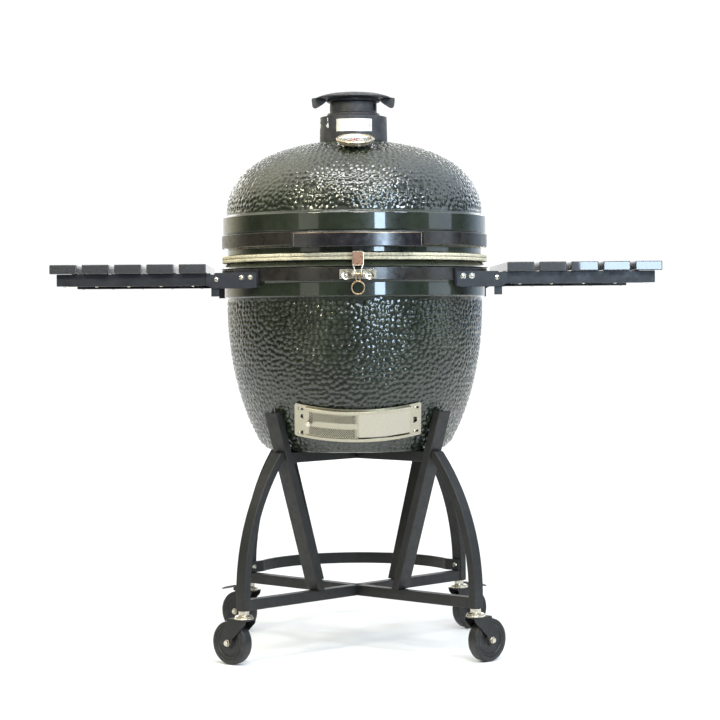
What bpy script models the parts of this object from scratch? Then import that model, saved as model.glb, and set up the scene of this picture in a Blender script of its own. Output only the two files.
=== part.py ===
"""Kamado ceramic grill on a wheeled stand, built as separate jointed pieces.

Metres, +Z up, floor at z = 0, front toward -Y. "Left" is -X and "right" is +X, as someone facing
the grill sees them. The ceramic body's own axis is the empty "body_axis", and every piece is drawn
around that axis.
"""
import math

import bmesh
import bpy
from mathutils import Matrix, Vector

GAP = 0.0003                 # clearance between pieces that touch
AXIS_Y = -0.0430             # body axis, measured from the middle of the whole footprint

RING_STEPS = 32              # facets of every ring on the ceramic body
SMALL_STEPS = 20             # facets of the chimney, fire box and dial
WHEEL_STEPS = 16

# Ceramic body
BODY_RADIUS = 0.3048
BOWL_CENTRE_Z = 0.819
BOWL_DEPTH = 0.492
BOWL_BOTTOM_Z = 0.4798
WALL = 0.028
INNER_FLOOR_Z = 0.5085
BASE_RIM = (0.311, 0.838, 0.8725)        # radius, lowest and highest z
BAND_SEAT = 0.3127
BAND_INNER = 0.3130
BAND_OUTER = 0.3170
BASE_BAND_Z = (0.8760, 0.9055)
LID_BAND_Z = (0.9570, 0.9870)
LIP_INNER = 0.3036
LIP_OUTER = 0.3204
BASE_TOP_Z = 0.9217
MOUTH_RADIUS = 0.276
LID_BOTTOM_Z = 0.9383
LID_RIM = (0.3144, 0.9905, 1.0315)
DOME_CENTRE_Z = 1.035
DOME_HEIGHT = 0.1776
DOME_POWER = 2.3
CHIMNEY_HOLE = 0.050
CHIMNEY_NECK = 0.0650
CHIMNEY_TOP_Z = 1.2375
GASKET_RADII = (0.279, 0.317)

# Vent on the chimney
COLLAR_OUTER = 0.081
COLLAR_BOTTOM_Z = 1.2093
NECK_OUTER = 0.056
NECK_INNER = 0.0525
NECK_TOP_Z = 1.3055
WINDOW_WIDTH = 0.018
WINDOW_COUNT = 5
WINDOW_PITCH = math.radians(42)          # half a pitch opens or shuts the vent
FIRST_WINDOW = math.radians(62)          # round from the front toward the right
WINDOW_Z = (1.284, 1.301)
BRIM_RADIUS = 0.090
EAR_THICK = 0.012

# Thermometer, square to the dome
DIAL_DISTANCE = 0.168
DIAL_SURFACE_Z = 1.1913
DIAL_TILT = math.radians(17.6)
DIAL_RADIUS = 0.0445

# Rear hinge
PIN_Y = 0.372
PIN_Z = 0.945
PIN_RADIUS = 0.005

# Lid handle
HANDLE_HALF = 0.147
HANDLE_OUTER = 0.3580
HANDLE_INNER = 0.3420
HANDLE_STEPS = 24
HANDLE_Z = (0.950, 0.984)
POST_X = 0.100

# Latch
LATCH_Y = -0.333
LATCH_Z = 0.889

# Draft door, curved about an axis square to the bowl's slope
DOOR_CENTRE_Z = 0.6502
DOOR_TILT = math.radians(22.56)
FRAME_BACK = 0.2768
FRAME_HALF_HEIGHT = 0.041
FRAME_HALF_ANGLE = math.radians(31.5)
TRACK_HALF_ANGLE = math.radians(25.4)
SLIDER_HALF_HEIGHT = 0.0335
DOOR_LAYER = (0.2791, 0.2803)
SCREEN_LAYER = (0.2811, 0.2823)
PANEL_ANGLE = math.radians(25.0)

# Stand
TUBE = 0.025
LOWER_CROSS_Z = 0.125
UPPER_CROSS_Z = 0.4545
FOOT = 0.2645                            # caster axis, along X and along Y
LEG_OUTER = 0.385
LEG_THICK = 0.020
LEG_WIDE = 0.030
LEG_BEND_Z = 0.160
LEG_BEND_RADIUS = 0.490
LEG_TOP_Z = 0.480
STRUT_WIDE = 0.040
STRUT_FOOT = (0.140, 0.1503)             # distance from the axis, z
STRUT_HEAD = (0.2762, 0.573)
BAR_Z = (0.1506, 0.1786)
BAR_THICK = 0.006

# Casters
WHEEL_RADIUS = 0.050
WHEEL_HALF = 0.0140
TRAIL = 0.036
TRAIL_ANGLE = math.radians(40.0)
AXLE_RADIUS = 0.004
CASTER_TOP_Z = 0.1247

# Side shelves
SHELF_PIVOT_X = 0.322
SHELF_PIVOT_Z = 0.881
ARM_Y = (0.2185, 0.2215)                 # the arm's upright web, distance from the axis
BRACKET_Y = (0.2225, 0.2255)
ARM_Z = (0.867, 0.8945)
ARM_END_X = 0.687
SLAT_INNER_X = 0.345
SLAT_PITCH = 0.0736
SLAT_WIDTH = 0.062
SLAT_HALF_LENGTH = 0.240
SLAT_Z = (0.8949, 0.9165)
SLATS_PER_SIDE = 5

SIDES = (("left", -1.0), ("right", 1.0))
ENDS = (("front", -1.0), ("rear", 1.0))


# ---------------------------------------------------------------- tools

def clear_scene():
    for thing in list(bpy.data.objects):
        bpy.data.objects.remove(thing, do_unlink=True)


def finish(name, colour, roughness, metallic=0.0):
    """One Principled material."""
    made = bpy.data.materials.new(name)
    made.use_nodes = True
    made.diffuse_color = (*colour, 1.0)
    shader = made.node_tree.nodes["Principled BSDF"]
    shader.inputs["Base Color"].default_value = (*colour, 1.0)
    shader.inputs["Roughness"].default_value = roughness
    shader.inputs["Metallic"].default_value = metallic
    return made


def place_object(name, mesh, look, pivot=(0.0, 0.0, 0.0)):
    """One named piece under the body axis, with its origin at its pivot."""
    mesh.transform(Matrix.Translation(-Vector(pivot)))
    mesh.name = name
    mesh.materials.clear()
    mesh.materials.append(look)
    mesh.shade_smooth()
    mesh.set_sharp_from_angle(angle=math.radians(32))
    piece = bpy.data.objects.new(name, mesh)
    bpy.context.scene.collection.objects.link(piece)
    piece.parent = bpy.data.objects["body_axis"]
    piece.location = pivot
    return piece


def closed(bm):
    """Finish a bmesh as a mesh with its faces pointing out."""
    bmesh.ops.recalc_face_normals(bm, faces=bm.faces)
    if bm.calc_volume(signed=True) < 0.0:
        bmesh.ops.reverse_faces(bm, faces=bm.faces)
    mesh = bpy.data.meshes.new("solid")
    bm.to_mesh(mesh)
    bm.free()
    return mesh


def turned(outline, steps, place=Matrix()):
    """Solid of revolution about Z from (radius, z) points; an outline may start and end on the axis."""
    bm = bmesh.new()
    points = [bm.verts.new((radius, 0.0, z)) for radius, z in outline]
    pairs = list(zip(points, points[1:]))
    if outline[0][0] > 0.0:
        pairs.append((points[-1], points[0]))
    edges = [bm.edges.new(pair) for pair in pairs]
    bmesh.ops.spin(bm, geom=points + edges, cent=(0, 0, 0), axis=(0, 0, 1),
                   angle=2 * math.pi, steps=steps, use_duplicate=False)
    bmesh.ops.remove_doubles(bm, verts=bm.verts, dist=1e-6)
    bm.transform(place)
    return closed(bm)


def prism(outline, low, high, place=Matrix()):
    """A flat outline in X and Y, extruded along Z from low to high."""
    bm = bmesh.new()
    base = bm.faces.new([bm.verts.new((x, y, low)) for x, y in outline])
    grown = bmesh.ops.extrude_face_region(bm, geom=[base])["geom"]
    moved = [item for item in grown if isinstance(item, bmesh.types.BMVert)]
    bmesh.ops.translate(bm, verts=moved, vec=(0.0, 0.0, high - low))
    bm.transform(place)
    return closed(bm)


def block(low, high):
    """An upright box between two corners."""
    x0, x1 = sorted((low[0], high[0]))
    y0, y1 = sorted((low[1], high[1]))
    z0, z1 = sorted((low[2], high[2]))
    return prism([(x0, y0), (x1, y0), (x1, y1), (x0, y1)], z0, z1)


def bevelled(mesh, width):
    """Chamfer every edge of a mesh."""
    bm = bmesh.new()
    bm.from_mesh(mesh)
    bmesh.ops.bevel(bm, geom=bm.edges[:], offset=width, segments=1, affect="EDGES")
    return closed(bm)


def rod(start, end, radius, sides=12):
    """A round bar between two points."""
    start = Vector(start)
    run = Vector(end) - start
    turn = run.to_track_quat("Z", "Y").to_matrix().to_4x4()
    ring = arc((0.0, 0.0), radius, 0.0, 2 * math.pi, sides)[:-1]
    return prism(ring, 0.0, run.length, Matrix.Translation(start) @ turn)


def sweep_arc(profile, start, end, steps, place=Matrix()):
    """A (radius, z) outline swept about Z between two angles measured from -Y toward +X."""
    bm = bmesh.new()
    base = bm.faces.new([bm.verts.new((0.0, -radius, z)) for radius, z in profile])
    bmesh.ops.rotate(bm, verts=bm.verts, cent=(0, 0, 0), matrix=Matrix.Rotation(start, 3, "Z"))
    bmesh.ops.spin(bm, geom=[base] + base.verts[:] + base.edges[:], cent=(0, 0, 0), axis=(0, 0, 1),
                   angle=end - start, steps=steps, use_duplicate=False)
    bm.transform(place)
    return closed(bm)


def arc(centre, radius, start, end, steps):
    """Points along an arc, both ends included."""
    angles = [start + (end - start) * step / steps for step in range(steps + 1)]
    return [(centre[0] + radius * math.cos(angle), centre[1] + radius * math.sin(angle))
            for angle in angles]


def carve(base, tools, operation):
    """Join or cut meshes with exact Booleans and return the resulting mesh."""
    solid = bpy.data.objects.new("solid", base)
    bpy.context.scene.collection.objects.link(solid)
    helpers = []
    for tool in tools:
        helper = bpy.data.objects.new("tool", tool)
        helper.hide_render = True
        helper.display_type = "WIRE"
        bpy.context.scene.collection.objects.link(helper)
        step = solid.modifiers.new("step", "BOOLEAN")
        step.operation = operation
        step.solver = "EXACT"
        step.object = helper
        helpers.append(helper)
    graph = bpy.context.evaluated_depsgraph_get()
    made = bpy.data.meshes.new_from_object(solid.evaluated_get(graph))
    for used in helpers + [solid]:
        bpy.data.objects.remove(used, do_unlink=True)
    return made


def join(*meshes):
    return carve(meshes[0], meshes[1:], "UNION")


def cut(base, *tools):
    return carve(base, tools, "DIFFERENCE")


def axes(origin, x_axis, y_axis):
    """A placement from an origin and two directions at right angles."""
    x_axis = Vector(x_axis).normalized()
    y_axis = Vector(y_axis).normalized()
    turn = Matrix((x_axis, y_axis, x_axis.cross(y_axis))).transposed().to_4x4()
    return Matrix.Translation(Vector(origin)) @ turn


def mirrored(mesh, side):
    """A copy mirrored left to right when side is -1."""
    bm = bmesh.new()
    bm.from_mesh(mesh)
    bmesh.ops.scale(bm, vec=(side, 1.0, 1.0), verts=bm.verts)
    return closed(bm)


def bowl_radius(z):
    """Outer radius of the bowl at a height."""
    rise = (z - BOWL_CENTRE_Z) / BOWL_DEPTH
    return BODY_RADIUS * math.sqrt(1.0 - rise * rise)


def dome_point(share):
    """Outer (radius, z) of the dome, from its springing at 0 to its crown at 1."""
    angle = share * math.pi / 2
    radius = BODY_RADIUS * math.cos(angle) ** (2 / DOME_POWER)
    return radius, DOME_CENTRE_Z + DOME_HEIGHT * math.sin(angle) ** (2 / DOME_POWER)


# ---------------------------------------------------------------- ceramic body

def make_base_shell(look):
    outside = [(0.0, BOWL_BOTTOM_Z), (0.2090, BOWL_BOTTOM_Z), (0.2185, BOWL_BOTTOM_Z + 0.0040)]
    first = BOWL_BOTTOM_Z + 0.016
    rim, rim_low, rim_high = BASE_RIM
    outside += [(bowl_radius(z), z) for z in spread(first, rim_low, 6)]
    outside += [(rim, rim_low + 0.0035), (rim, rim_high - 0.0015)]
    outside += [(BAND_SEAT, BASE_BAND_Z[0] - 0.0010), (BAND_SEAT, BASE_BAND_Z[1] + GAP)]
    outside += [(LIP_OUTER, BASE_BAND_Z[1] + 0.0020), (LIP_INNER, BASE_TOP_Z)]
    inside = [(MOUTH_RADIUS, BASE_TOP_Z)]
    inside += [(bowl_radius(z) - WALL, z) for z in spread(BOWL_CENTRE_Z, 0.535, 4)]
    inside += [(0.190, INNER_FLOOR_Z), (0.0, INNER_FLOOR_Z)]
    shell = turned(outside + inside, RING_STEPS)
    port = block((-0.104, -0.33, -0.026), (-0.014, -0.19, 0.026))
    port.transform(door_place())
    place_object("base_shell", cut(shell, port), look)


def spread(first, last, steps):
    """Evenly spaced values, both ends included."""
    return [first + (last - first) * step / steps for step in range(steps + 1)]


def make_dome_shell(look):
    rim, rim_low, rim_high = LID_RIM
    outside = [(LIP_INNER, LID_BOTTOM_Z), (LIP_INNER, 0.9540), (BAND_SEAT, 0.9563)]
    outside += [(BAND_SEAT, LID_BAND_Z[1] + 0.0010), (rim, rim_low), (rim, rim_high - 0.002)]
    outside += [point for point in map(dome_point, spread(0.0, 1.0, 8)) if point[0] > 0.100]
    neck_z = COLLAR_BOTTOM_Z - GAP
    outside += [(COLLAR_OUTER + 0.002, neck_z), (CHIMNEY_NECK, neck_z)]
    outside += [(CHIMNEY_NECK, CHIMNEY_TOP_Z), (CHIMNEY_HOLE, CHIMNEY_TOP_Z), (CHIMNEY_HOLE, 1.181)]
    inside = [(radius - 0.024, z - 0.028) for radius, z in map(dome_point, spread(0.66, 0.0, 4))]
    inside += [(MOUTH_RADIUS, 0.960), (MOUTH_RADIUS, LID_BOTTOM_Z)]
    shell = turned(outside + inside, RING_STEPS)
    stem_hole = prism(arc((0, 0), 0.0052, 0, 2 * math.pi, 12)[:-1], -0.060, 0.030, dial_place())
    place_object("dome_shell", cut(shell, stem_hole), look, (0.0, PIN_Y, PIN_Z))


def make_ring(name, outline, look, pivot=(0.0, 0.0, 0.0), steps=RING_STEPS):
    place_object(name, turned(outline, steps), look, pivot)


def box_outline(inner, outer, low, high):
    """A ring's rectangular section."""
    return [(inner, low), (outer, low), (outer, high), (inner, high)]


def make_seals_and_bands(felt, steel):
    middle = (BASE_TOP_Z + LID_BOTTOM_Z) / 2
    inner, outer = GASKET_RADII
    lid_pivot = (0.0, PIN_Y, PIN_Z)
    make_ring("base_gasket", box_outline(inner, outer, BASE_TOP_Z + GAP, middle - GAP / 2), felt)
    make_ring("dome_gasket", box_outline(inner, outer, middle + GAP / 2, LID_BOTTOM_Z - GAP), felt, lid_pivot)
    make_ring("base_band", box_outline(BAND_INNER, BAND_OUTER, *BASE_BAND_Z), steel)
    make_ring("lid_band", box_outline(BAND_INNER, BAND_OUTER, *LID_BAND_Z), steel, lid_pivot)


def make_fire_parts(clay, iron, steel):
    outer = [(bowl_radius(z) - WALL - 0.010, z) for z in spread(0.540, 0.700, 4)]
    box = [(0.180, INNER_FLOOR_Z + GAP)] + outer + [(0.2358, 0.700), (0.205, 0.620), (0.150, 0.598)]
    box += [(0.150, 0.586), (0.128, 0.586), (0.120, INNER_FLOOR_Z + GAP)]
    air_notch = block((-0.050, -0.30, 0.45), (0.050, -0.05, 0.562))
    place_object("firebox", cut(turned(box, SMALL_STEPS), air_notch), clay)
    make_ring("fire_ring", box_outline(0.234, 0.2578, 0.7003, 0.8350), clay, steps=SMALL_STEPS)
    make_charcoal_grate(iron)
    make_cooking_grate(steel)


def make_charcoal_grate(look):
    low, high = 0.5863, 0.5943
    plate = turned([(0.0, low), (0.1475, low), (0.1475, high), (0.0, high)], SMALL_STEPS)
    slots = []
    for number in range(-4, 5):
        middle = number * 0.028
        half = math.sqrt(0.130 ** 2 - middle ** 2)
        slots.append(block((middle - 0.006, -half, low - 0.01), (middle + 0.006, half, high + 0.01)))
    place_object("charcoal_grate", cut(plate, *slots), look)


def make_cooking_grate(look):
    low, high = 0.8353, 0.8433
    grate = turned(box_outline(0.250, 0.258, low, high), SMALL_STEPS)
    bars = []
    for number in range(-6, 7):
        middle = number * 0.036
        half = math.sqrt(0.254 ** 2 - middle ** 2)
        bars.append(block((middle - 0.003, -half, low + 0.001), (middle + 0.003, half, high - 0.001)))
    cross = block((-0.2535, -0.003, low + 0.0015), (0.2535, 0.003, high - 0.0015))
    place_object("cooking_grate", join(grate, *bars, cross), look)


# ---------------------------------------------------------------- vent and thermometer

def window_cutters(low, high, first):
    """Bars that open the windows round the side and back of the chimney neck."""
    bars = []
    for number in range(WINDOW_COUNT):
        bar = block((-WINDOW_WIDTH / 2, -0.090, low), (WINDOW_WIDTH / 2, -0.030, high))
        bar.transform(Matrix.Rotation(first + number * WINDOW_PITCH, 4, "Z"))
        bars.append(bar)
    return bars


def make_vent(iron):
    pivot = (0.0, PIN_Y, PIN_Z)
    collar = [(COLLAR_OUTER, COLLAR_BOTTOM_Z), (0.0795, 1.2690), (0.0775, 1.2725), (0.0612, 1.2785)]
    collar += [(NECK_OUTER, 1.2795), (NECK_OUTER, NECK_TOP_Z), (NECK_INNER, NECK_TOP_Z)]
    collar += [(NECK_INNER, 1.2660), (0.0672, 1.2480), (0.0672, COLLAR_BOTTOM_Z)]
    collar_mesh = cut(turned(collar, SMALL_STEPS), *window_cutters(*WINDOW_Z, FIRST_WINDOW))
    place_object("vent_collar", collar_mesh, iron, pivot)

    cap = [(0.0, 1.3300), (0.035, 1.3287), (0.062, 1.3255), (0.081, 1.3205), (BRIM_RADIUS, 1.3165)]
    cap += [(BRIM_RADIUS, 1.3138), (0.063, 1.3125), (0.063, 1.3062), (0.0516, 1.3062)]
    cap += [(0.0516, 1.2830), (0.0490, 1.2830), (0.0490, 1.3110), (0.0, 1.3110)]
    windows = window_cutters(1.270, WINDOW_Z[1], FIRST_WINDOW - WINDOW_PITCH / 2)
    body = cut(turned(cap, SMALL_STEPS), *windows)
    outline = [(0.062, 1.3135), (0.069, 1.3050), (0.079, 1.2985), (0.088, 1.2930), (0.094, 1.2925)]
    outline += [(0.0980, 1.2965), (0.1000, 1.3160), (0.0860, 1.3180)]
    upright = axes((0, 0, 0), (1, 0, 0), (0, 0, 1))
    ear = prism(outline, -EAR_THICK / 2, EAR_THICK / 2, upright)
    ears = [mirrored(ear, side) for _, side in SIDES]
    place_object("vent_cap", join(body, *ears), iron, (0.0, 0.0, 1.3062))


def dial_place():
    """Placement of the thermometer: Z square to the dome, X to the right."""
    up = Vector((0.0, -math.sin(DIAL_TILT), math.cos(DIAL_TILT)))
    return axes((0.0, -DIAL_DISTANCE, DIAL_SURFACE_Z), (1, 0, 0), up.cross(Vector((1, 0, 0))))


def make_thermometer(steel, needle):
    pivot = (0.0, PIN_Y, PIN_Z)
    case = [(0.0, -0.085), (0.0042, -0.085), (0.0042, 0.0035), (0.012, 0.0045), (0.040, 0.0060)]
    case += [(DIAL_RADIUS, 0.0095), (DIAL_RADIUS, 0.0165), (0.0415, 0.0185), (0.0375, 0.0175)]
    case += [(0.0370, 0.0125), (0.0016, 0.0125), (0.0016, 0.0150), (0.0, 0.0150)]
    place_object("thermometer_case", turned(case, SMALL_STEPS, dial_place()), steel, pivot)
    hand = [(-0.0016, -0.009), (0.0016, -0.009), (0.0045, 0.0), (0.0008, 0.031), (-0.0008, 0.031)]
    hand += [(-0.0045, 0.0)]
    hub_hole = prism(arc((0, 0), 0.0021, 0, 2 * math.pi, 8)[:-1], 0.0, 0.03)
    pointer = cut(prism(hand, 0.0132, 0.0140), hub_hole)
    pointer.transform(dial_place() @ Matrix.Rotation(math.radians(135), 4, "Z"))
    place_object("thermometer_pointer", pointer, needle, dial_place() @ Vector((0, 0, 0.0136)))


# ---------------------------------------------------------------- rear hinge

def across(x):
    """Placement that turns an outline of (y, z) into a plate at a distance along X."""
    return axes((x, 0, 0), (0, 1, 0), (0, 0, 1))


def rear_arc(inner, outer, low, high, half_angle, steps):
    """A curved foot against a band at the back of the body."""
    outline = [(inner, low), (outer, low), (outer, high), (inner, high)]
    return sweep_arc(outline, math.pi - half_angle, math.pi + half_angle, steps)


def pin_hole():
    return rod((-0.08, PIN_Y, PIN_Z), (0.08, PIN_Y, PIN_Z), 0.0057, 16)


def make_hinge(iron, steel):
    foot = rear_arc(0.3178, 0.3222, 0.866, 0.905, math.radians(21), 10)
    cheek = [(0.3170, 0.8670), (0.3520, 0.8670), (0.3880, 0.9360)]
    cheek += arc((PIN_Y, PIN_Z), 0.0160, math.radians(-15), math.radians(160), 7)
    cheek += [(0.3170, 0.9040)]
    cheeks = [prism(cheek, -0.002, 0.002, across(side * 0.055)) for _, side in SIDES]
    place_object("hinge_base", cut(join(foot, *cheeks), pin_hole()), iron)

    foot = rear_arc(0.3176, 0.3216, 0.958, 0.986, math.radians(19), 9)
    arm = [(0.3150, 0.9590), (0.3500, 0.9350)]
    arm += arc((PIN_Y, PIN_Z), 0.0140, math.radians(-125), math.radians(80), 8)
    arm += [(0.3400, 0.9850), (0.3150, 0.9850)]
    arms = [prism(arm, -0.002, 0.002, across(side * 0.0495)) for _, side in SIDES]
    place_object("hinge_lid", cut(join(foot, *arms), pin_hole()), iron, (0.0, PIN_Y, PIN_Z))

    pin = [(0.0, -0.064), (0.009, -0.064), (0.009, -0.0575), (PIN_RADIUS, -0.0575)]
    pin += [(PIN_RADIUS, 0.0575), (0.009, 0.0575), (0.009, 0.064), (0.0, 0.064)]
    lengthwise = axes((0.0, PIN_Y, PIN_Z), (0, 0, -1), (0, 1, 0))
    place_object("hinge_pin", turned(pin, 12, lengthwise), steel)
    for name, side in SIDES:
        make_hinge_spring(name, side, lengthwise, steel)


def make_hinge_spring(name, side, lengthwise, look):
    """Outer shape of one torsion spring around the hinge pin."""
    turns = 5
    first, last = 0.0040, 0.0440
    pitch = (last - first) / turns
    ridge = []
    for turn in range(turns):
        start = first + turn * pitch
        ridge += [(0.0095, start), (0.0112, start + pitch / 2)]
    ridge += [(0.0095, last)]
    outline = ridge + [(0.0056, last), (0.0056, first)]
    outline = [(radius, side * along) for radius, along in outline]
    place_object("hinge_spring_" + name, turned(outline, 12, lengthwise), look)


# ---------------------------------------------------------------- handle and latch

def make_handle(look, iron):
    z0, z1 = HANDLE_Z
    reach = math.asin(HANDLE_HALF / HANDLE_OUTER)
    turns = [reach * (2 * step / HANDLE_STEPS - 1) for step in range(HANDLE_STEPS + 1)]
    outline = [(HANDLE_OUTER * math.sin(turn), -HANDLE_OUTER * math.cos(turn)) for turn in turns]
    outline += [(HANDLE_INNER * math.sin(turn), -HANDLE_INNER * math.cos(turn)) for turn in reversed(turns)]
    bar = bevelled(prism(outline, z0, z1), 0.0018)
    band_y = -math.sqrt(BAND_OUTER ** 2 - POST_X ** 2)
    bar_y = -math.sqrt(HANDLE_INNER ** 2 - POST_X ** 2)
    middle = (z0 + z1) / 2 + 0.003
    posts = [rod((side * POST_X, bar_y - 0.004, middle), (side * POST_X, band_y - 0.0025, middle), 0.0075)
             for _, side in SIDES]
    pivot = (0.0, PIN_Y, PIN_Z)
    place_object("lid_handle", join(bar, *posts), look, pivot)
    hook = [(-0.3175, 0.9610), (-0.3175, 0.9750), (-0.3205, 0.9750), (-0.3205, 0.9640)]
    hook += [(-0.3310, 0.9640), (-0.3310, 0.9440), (-0.3280, 0.9440), (-0.3280, 0.9610)]
    place_object("lid_keeper", prism(hook, -0.012, 0.012, across(0.0)), iron, pivot)


def eyelet(x, width):
    """A small tube around the latch pin."""
    ring = cut(rod((x - width / 2, LATCH_Y, LATCH_Z), (x + width / 2, LATCH_Y, LATCH_Z), 0.0050, 12),
               rod((x - width, LATCH_Y, LATCH_Z), (x + width, LATCH_Y, LATCH_Z), 0.0030, 12))
    return ring


def make_latch(steel, copper):
    plate = block((-0.0415, -0.3204, 0.8785), (0.0415, -0.3174, 0.9000))
    ears = [block((side * 0.0103, -0.3395, 0.8825), (side * 0.0130, -0.3180, 0.8955))
            for _, side in SIDES]
    pin = rod((-0.0120, LATCH_Y, LATCH_Z), (0.0120, LATCH_Y, LATCH_Z), 0.0024, 12)
    place_object("latch_bracket", join(plate, *ears, pin), steel)

    pieces = [block((-0.0135, -0.3372, 0.9070), (0.0135, -0.3352, 0.9405))]
    for _, side in SIDES:
        pieces.append(eyelet(side * 0.0080, 0.0030))
        pieces.append(rod((side * 0.0080, LATCH_Y - 0.0032, LATCH_Z + 0.0026),
                          (side * 0.0100, -0.3362, 0.9120), 0.0014, 8))
    place_object("latch_bail", join(*pieces), copper, (0.0, LATCH_Y, LATCH_Z))

    ring_z = 0.8580
    ring = turned([(0.0144 + 0.0018 * math.cos(turn * math.pi / 3), 0.0018 * math.sin(turn * math.pi / 3))
                   for turn in range(6)], 14, axes((0.0, LATCH_Y, ring_z), (1, 0, 0), (0, 0, 1)))
    pieces = [ring]
    for _, side in SIDES:
        pieces.append(eyelet(side * 0.0042, 0.0028))
        pieces.append(rod((side * 0.0042, LATCH_Y, LATCH_Z - 0.0036),
                          (side * 0.0042, LATCH_Y, ring_z + 0.0135), 0.0014, 8))
    place_object("latch_lever", join(*pieces), steel, (0.0, LATCH_Y, LATCH_Z))


# ---------------------------------------------------------------- draft door

def door_place():
    """Placement of the draft door: Z runs up the bowl's slope, -Y points out of the bowl."""
    inward = Vector((0.0, math.cos(DOOR_TILT), math.sin(DOOR_TILT)))
    return axes((0.0, 0.0, DOOR_CENTRE_Z), (1, 0, 0), inward)


def make_draft_door(steel, knob_steel):
    place = door_place()
    tall = FRAME_HALF_HEIGHT
    plate = [(FRAME_BACK, -tall), (0.2783, -tall), (0.2783, tall), (FRAME_BACK, tall)]
    back = sweep_arc(plate, -FRAME_HALF_ANGLE, FRAME_HALF_ANGLE, 14)
    window = block((-0.104, -0.33, -0.026), (-0.014, -0.19, 0.026))
    back = cut(back, window)
    rails = []
    for side in (-1.0, 1.0):
        rail = [(0.2776, 0.0346), (0.2832, 0.0346), (0.2832, 0.0305), (0.2848, 0.0305)]
        rail += [(0.2848, 0.0375), (0.2776, 0.0375)]
        rail = [(radius, side * z) for radius, z in rail]
        rails.append(sweep_arc(rail, -TRACK_HALF_ANGLE, TRACK_HALF_ANGLE, 12))
    frame = join(back, *rails)
    frame.transform(place)
    place_object("draft_frame", frame, steel)

    slack = math.radians(0.15)
    panel = [(DOOR_LAYER[0], -SLIDER_HALF_HEIGHT), (DOOR_LAYER[1], -SLIDER_HALF_HEIGHT)]
    panel += [(DOOR_LAYER[1], SLIDER_HALF_HEIGHT), (DOOR_LAYER[0], SLIDER_HALF_HEIGHT)]
    door = sweep_arc(panel, slack, PANEL_ANGLE, 6, place)
    place_object("draft_door", door, steel, (0.0, 0.0, DOOR_CENTRE_Z))

    panel = [(SCREEN_LAYER[0], -SLIDER_HALF_HEIGHT), (SCREEN_LAYER[1], -SLIDER_HALF_HEIGHT)]
    panel += [(SCREEN_LAYER[1], SLIDER_HALF_HEIGHT), (SCREEN_LAYER[0], SLIDER_HALF_HEIGHT)]
    screen = sweep_arc(panel, -PANEL_ANGLE, -slack, 6)
    knob = [(0.0, 0.2814), (0.0035, 0.2814), (0.0035, 0.2865), (0.0060, 0.2885), (0.0060, 0.2915)]
    knob += [(0.0, 0.2930)]
    outward = Matrix.Rotation(math.radians(-23.3), 4, "Z") @ axes((0, 0, 0), (1, 0, 0), (0, 0, 1))
    screen = join(screen, turned(knob, 12, outward))
    screen.transform(place)
    place_object("draft_screen", screen, knob_steel, (0.0, 0.0, DOOR_CENTRE_Z))


# ---------------------------------------------------------------- stand

def corner(side_x, side_y):
    """Placement for outlines of (distance from the axis, z) on a diagonal of the stand."""
    return axes((0, 0, 0), (side_x, side_y, 0), (0, 0, 1))


def make_crosses(look):
    half = TUBE / 2
    end = LEG_OUTER - LEG_THICK - GAP
    low = LOWER_CROSS_Z
    beam = [(-end, low), (end, low), (end, low + TUBE), (-end, low + TUBE)]
    beams = [prism(beam, -half, half, corner(1, side)) for side in (1, -1)]
    place_object("lower_cross", join(*beams), look)
    low = UPPER_CROSS_Z
    bottom_end = strut_radius(low) - strut_half() - 2 * GAP
    top_end = strut_radius(low + TUBE) - strut_half() - 2 * GAP
    beam = [(-bottom_end, low), (bottom_end, low), (top_end, low + TUBE), (-top_end, low + TUBE)]
    beams = [prism(beam, -half, half, corner(1, side)) for side in (1, -1)]
    place_object("upper_cross", join(*beams), look)


def strut_slope():
    return (STRUT_HEAD[0] - STRUT_FOOT[0]) / (STRUT_HEAD[1] - STRUT_FOOT[1])


def strut_radius(z):
    """Distance from the axis to the middle of a leaning strut."""
    return STRUT_FOOT[0] + (z - STRUT_FOOT[1]) * strut_slope()


def strut_half():
    """Half the strut's thickness, measured level."""
    return 0.010 / math.cos(math.atan(strut_slope()))


def make_legs(look):
    half = strut_half()
    foot_z, head_z = STRUT_FOOT[1], STRUT_HEAD[1]
    strut = [(STRUT_FOOT[0] - half, foot_z), (STRUT_FOOT[0] + half, foot_z)]
    strut += [(STRUT_HEAD[0] + half, head_z), (STRUT_HEAD[0] - half, head_z)]
    centre = (LEG_OUTER - LEG_BEND_RADIUS, LEG_BEND_Z)
    climb = math.asin((LEG_TOP_Z - LEG_BEND_Z) / LEG_BEND_RADIUS)
    inner_radius = LEG_BEND_RADIUS - LEG_THICK
    inner_climb = math.asin((LEG_TOP_Z - LEG_BEND_Z) / inner_radius)
    leg = [(LEG_OUTER, LOWER_CROSS_Z)] + arc(centre, LEG_BEND_RADIUS, 0.0, climb, 8)
    leg += arc(centre, inner_radius, inner_climb, 0.0, 8) + [(LEG_OUTER - LEG_THICK, LOWER_CROSS_Z)]
    for end_name, end in ENDS:
        for side_name, side in SIDES:
            place = corner(side, end)
            upright = prism(strut, -STRUT_WIDE / 2, STRUT_WIDE / 2, place)
            curved = prism(leg, -LEG_WIDE / 2, LEG_WIDE / 2, place)
            place_object("leg_" + end_name + "_" + side_name, join(upright, curved), look)


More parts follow.
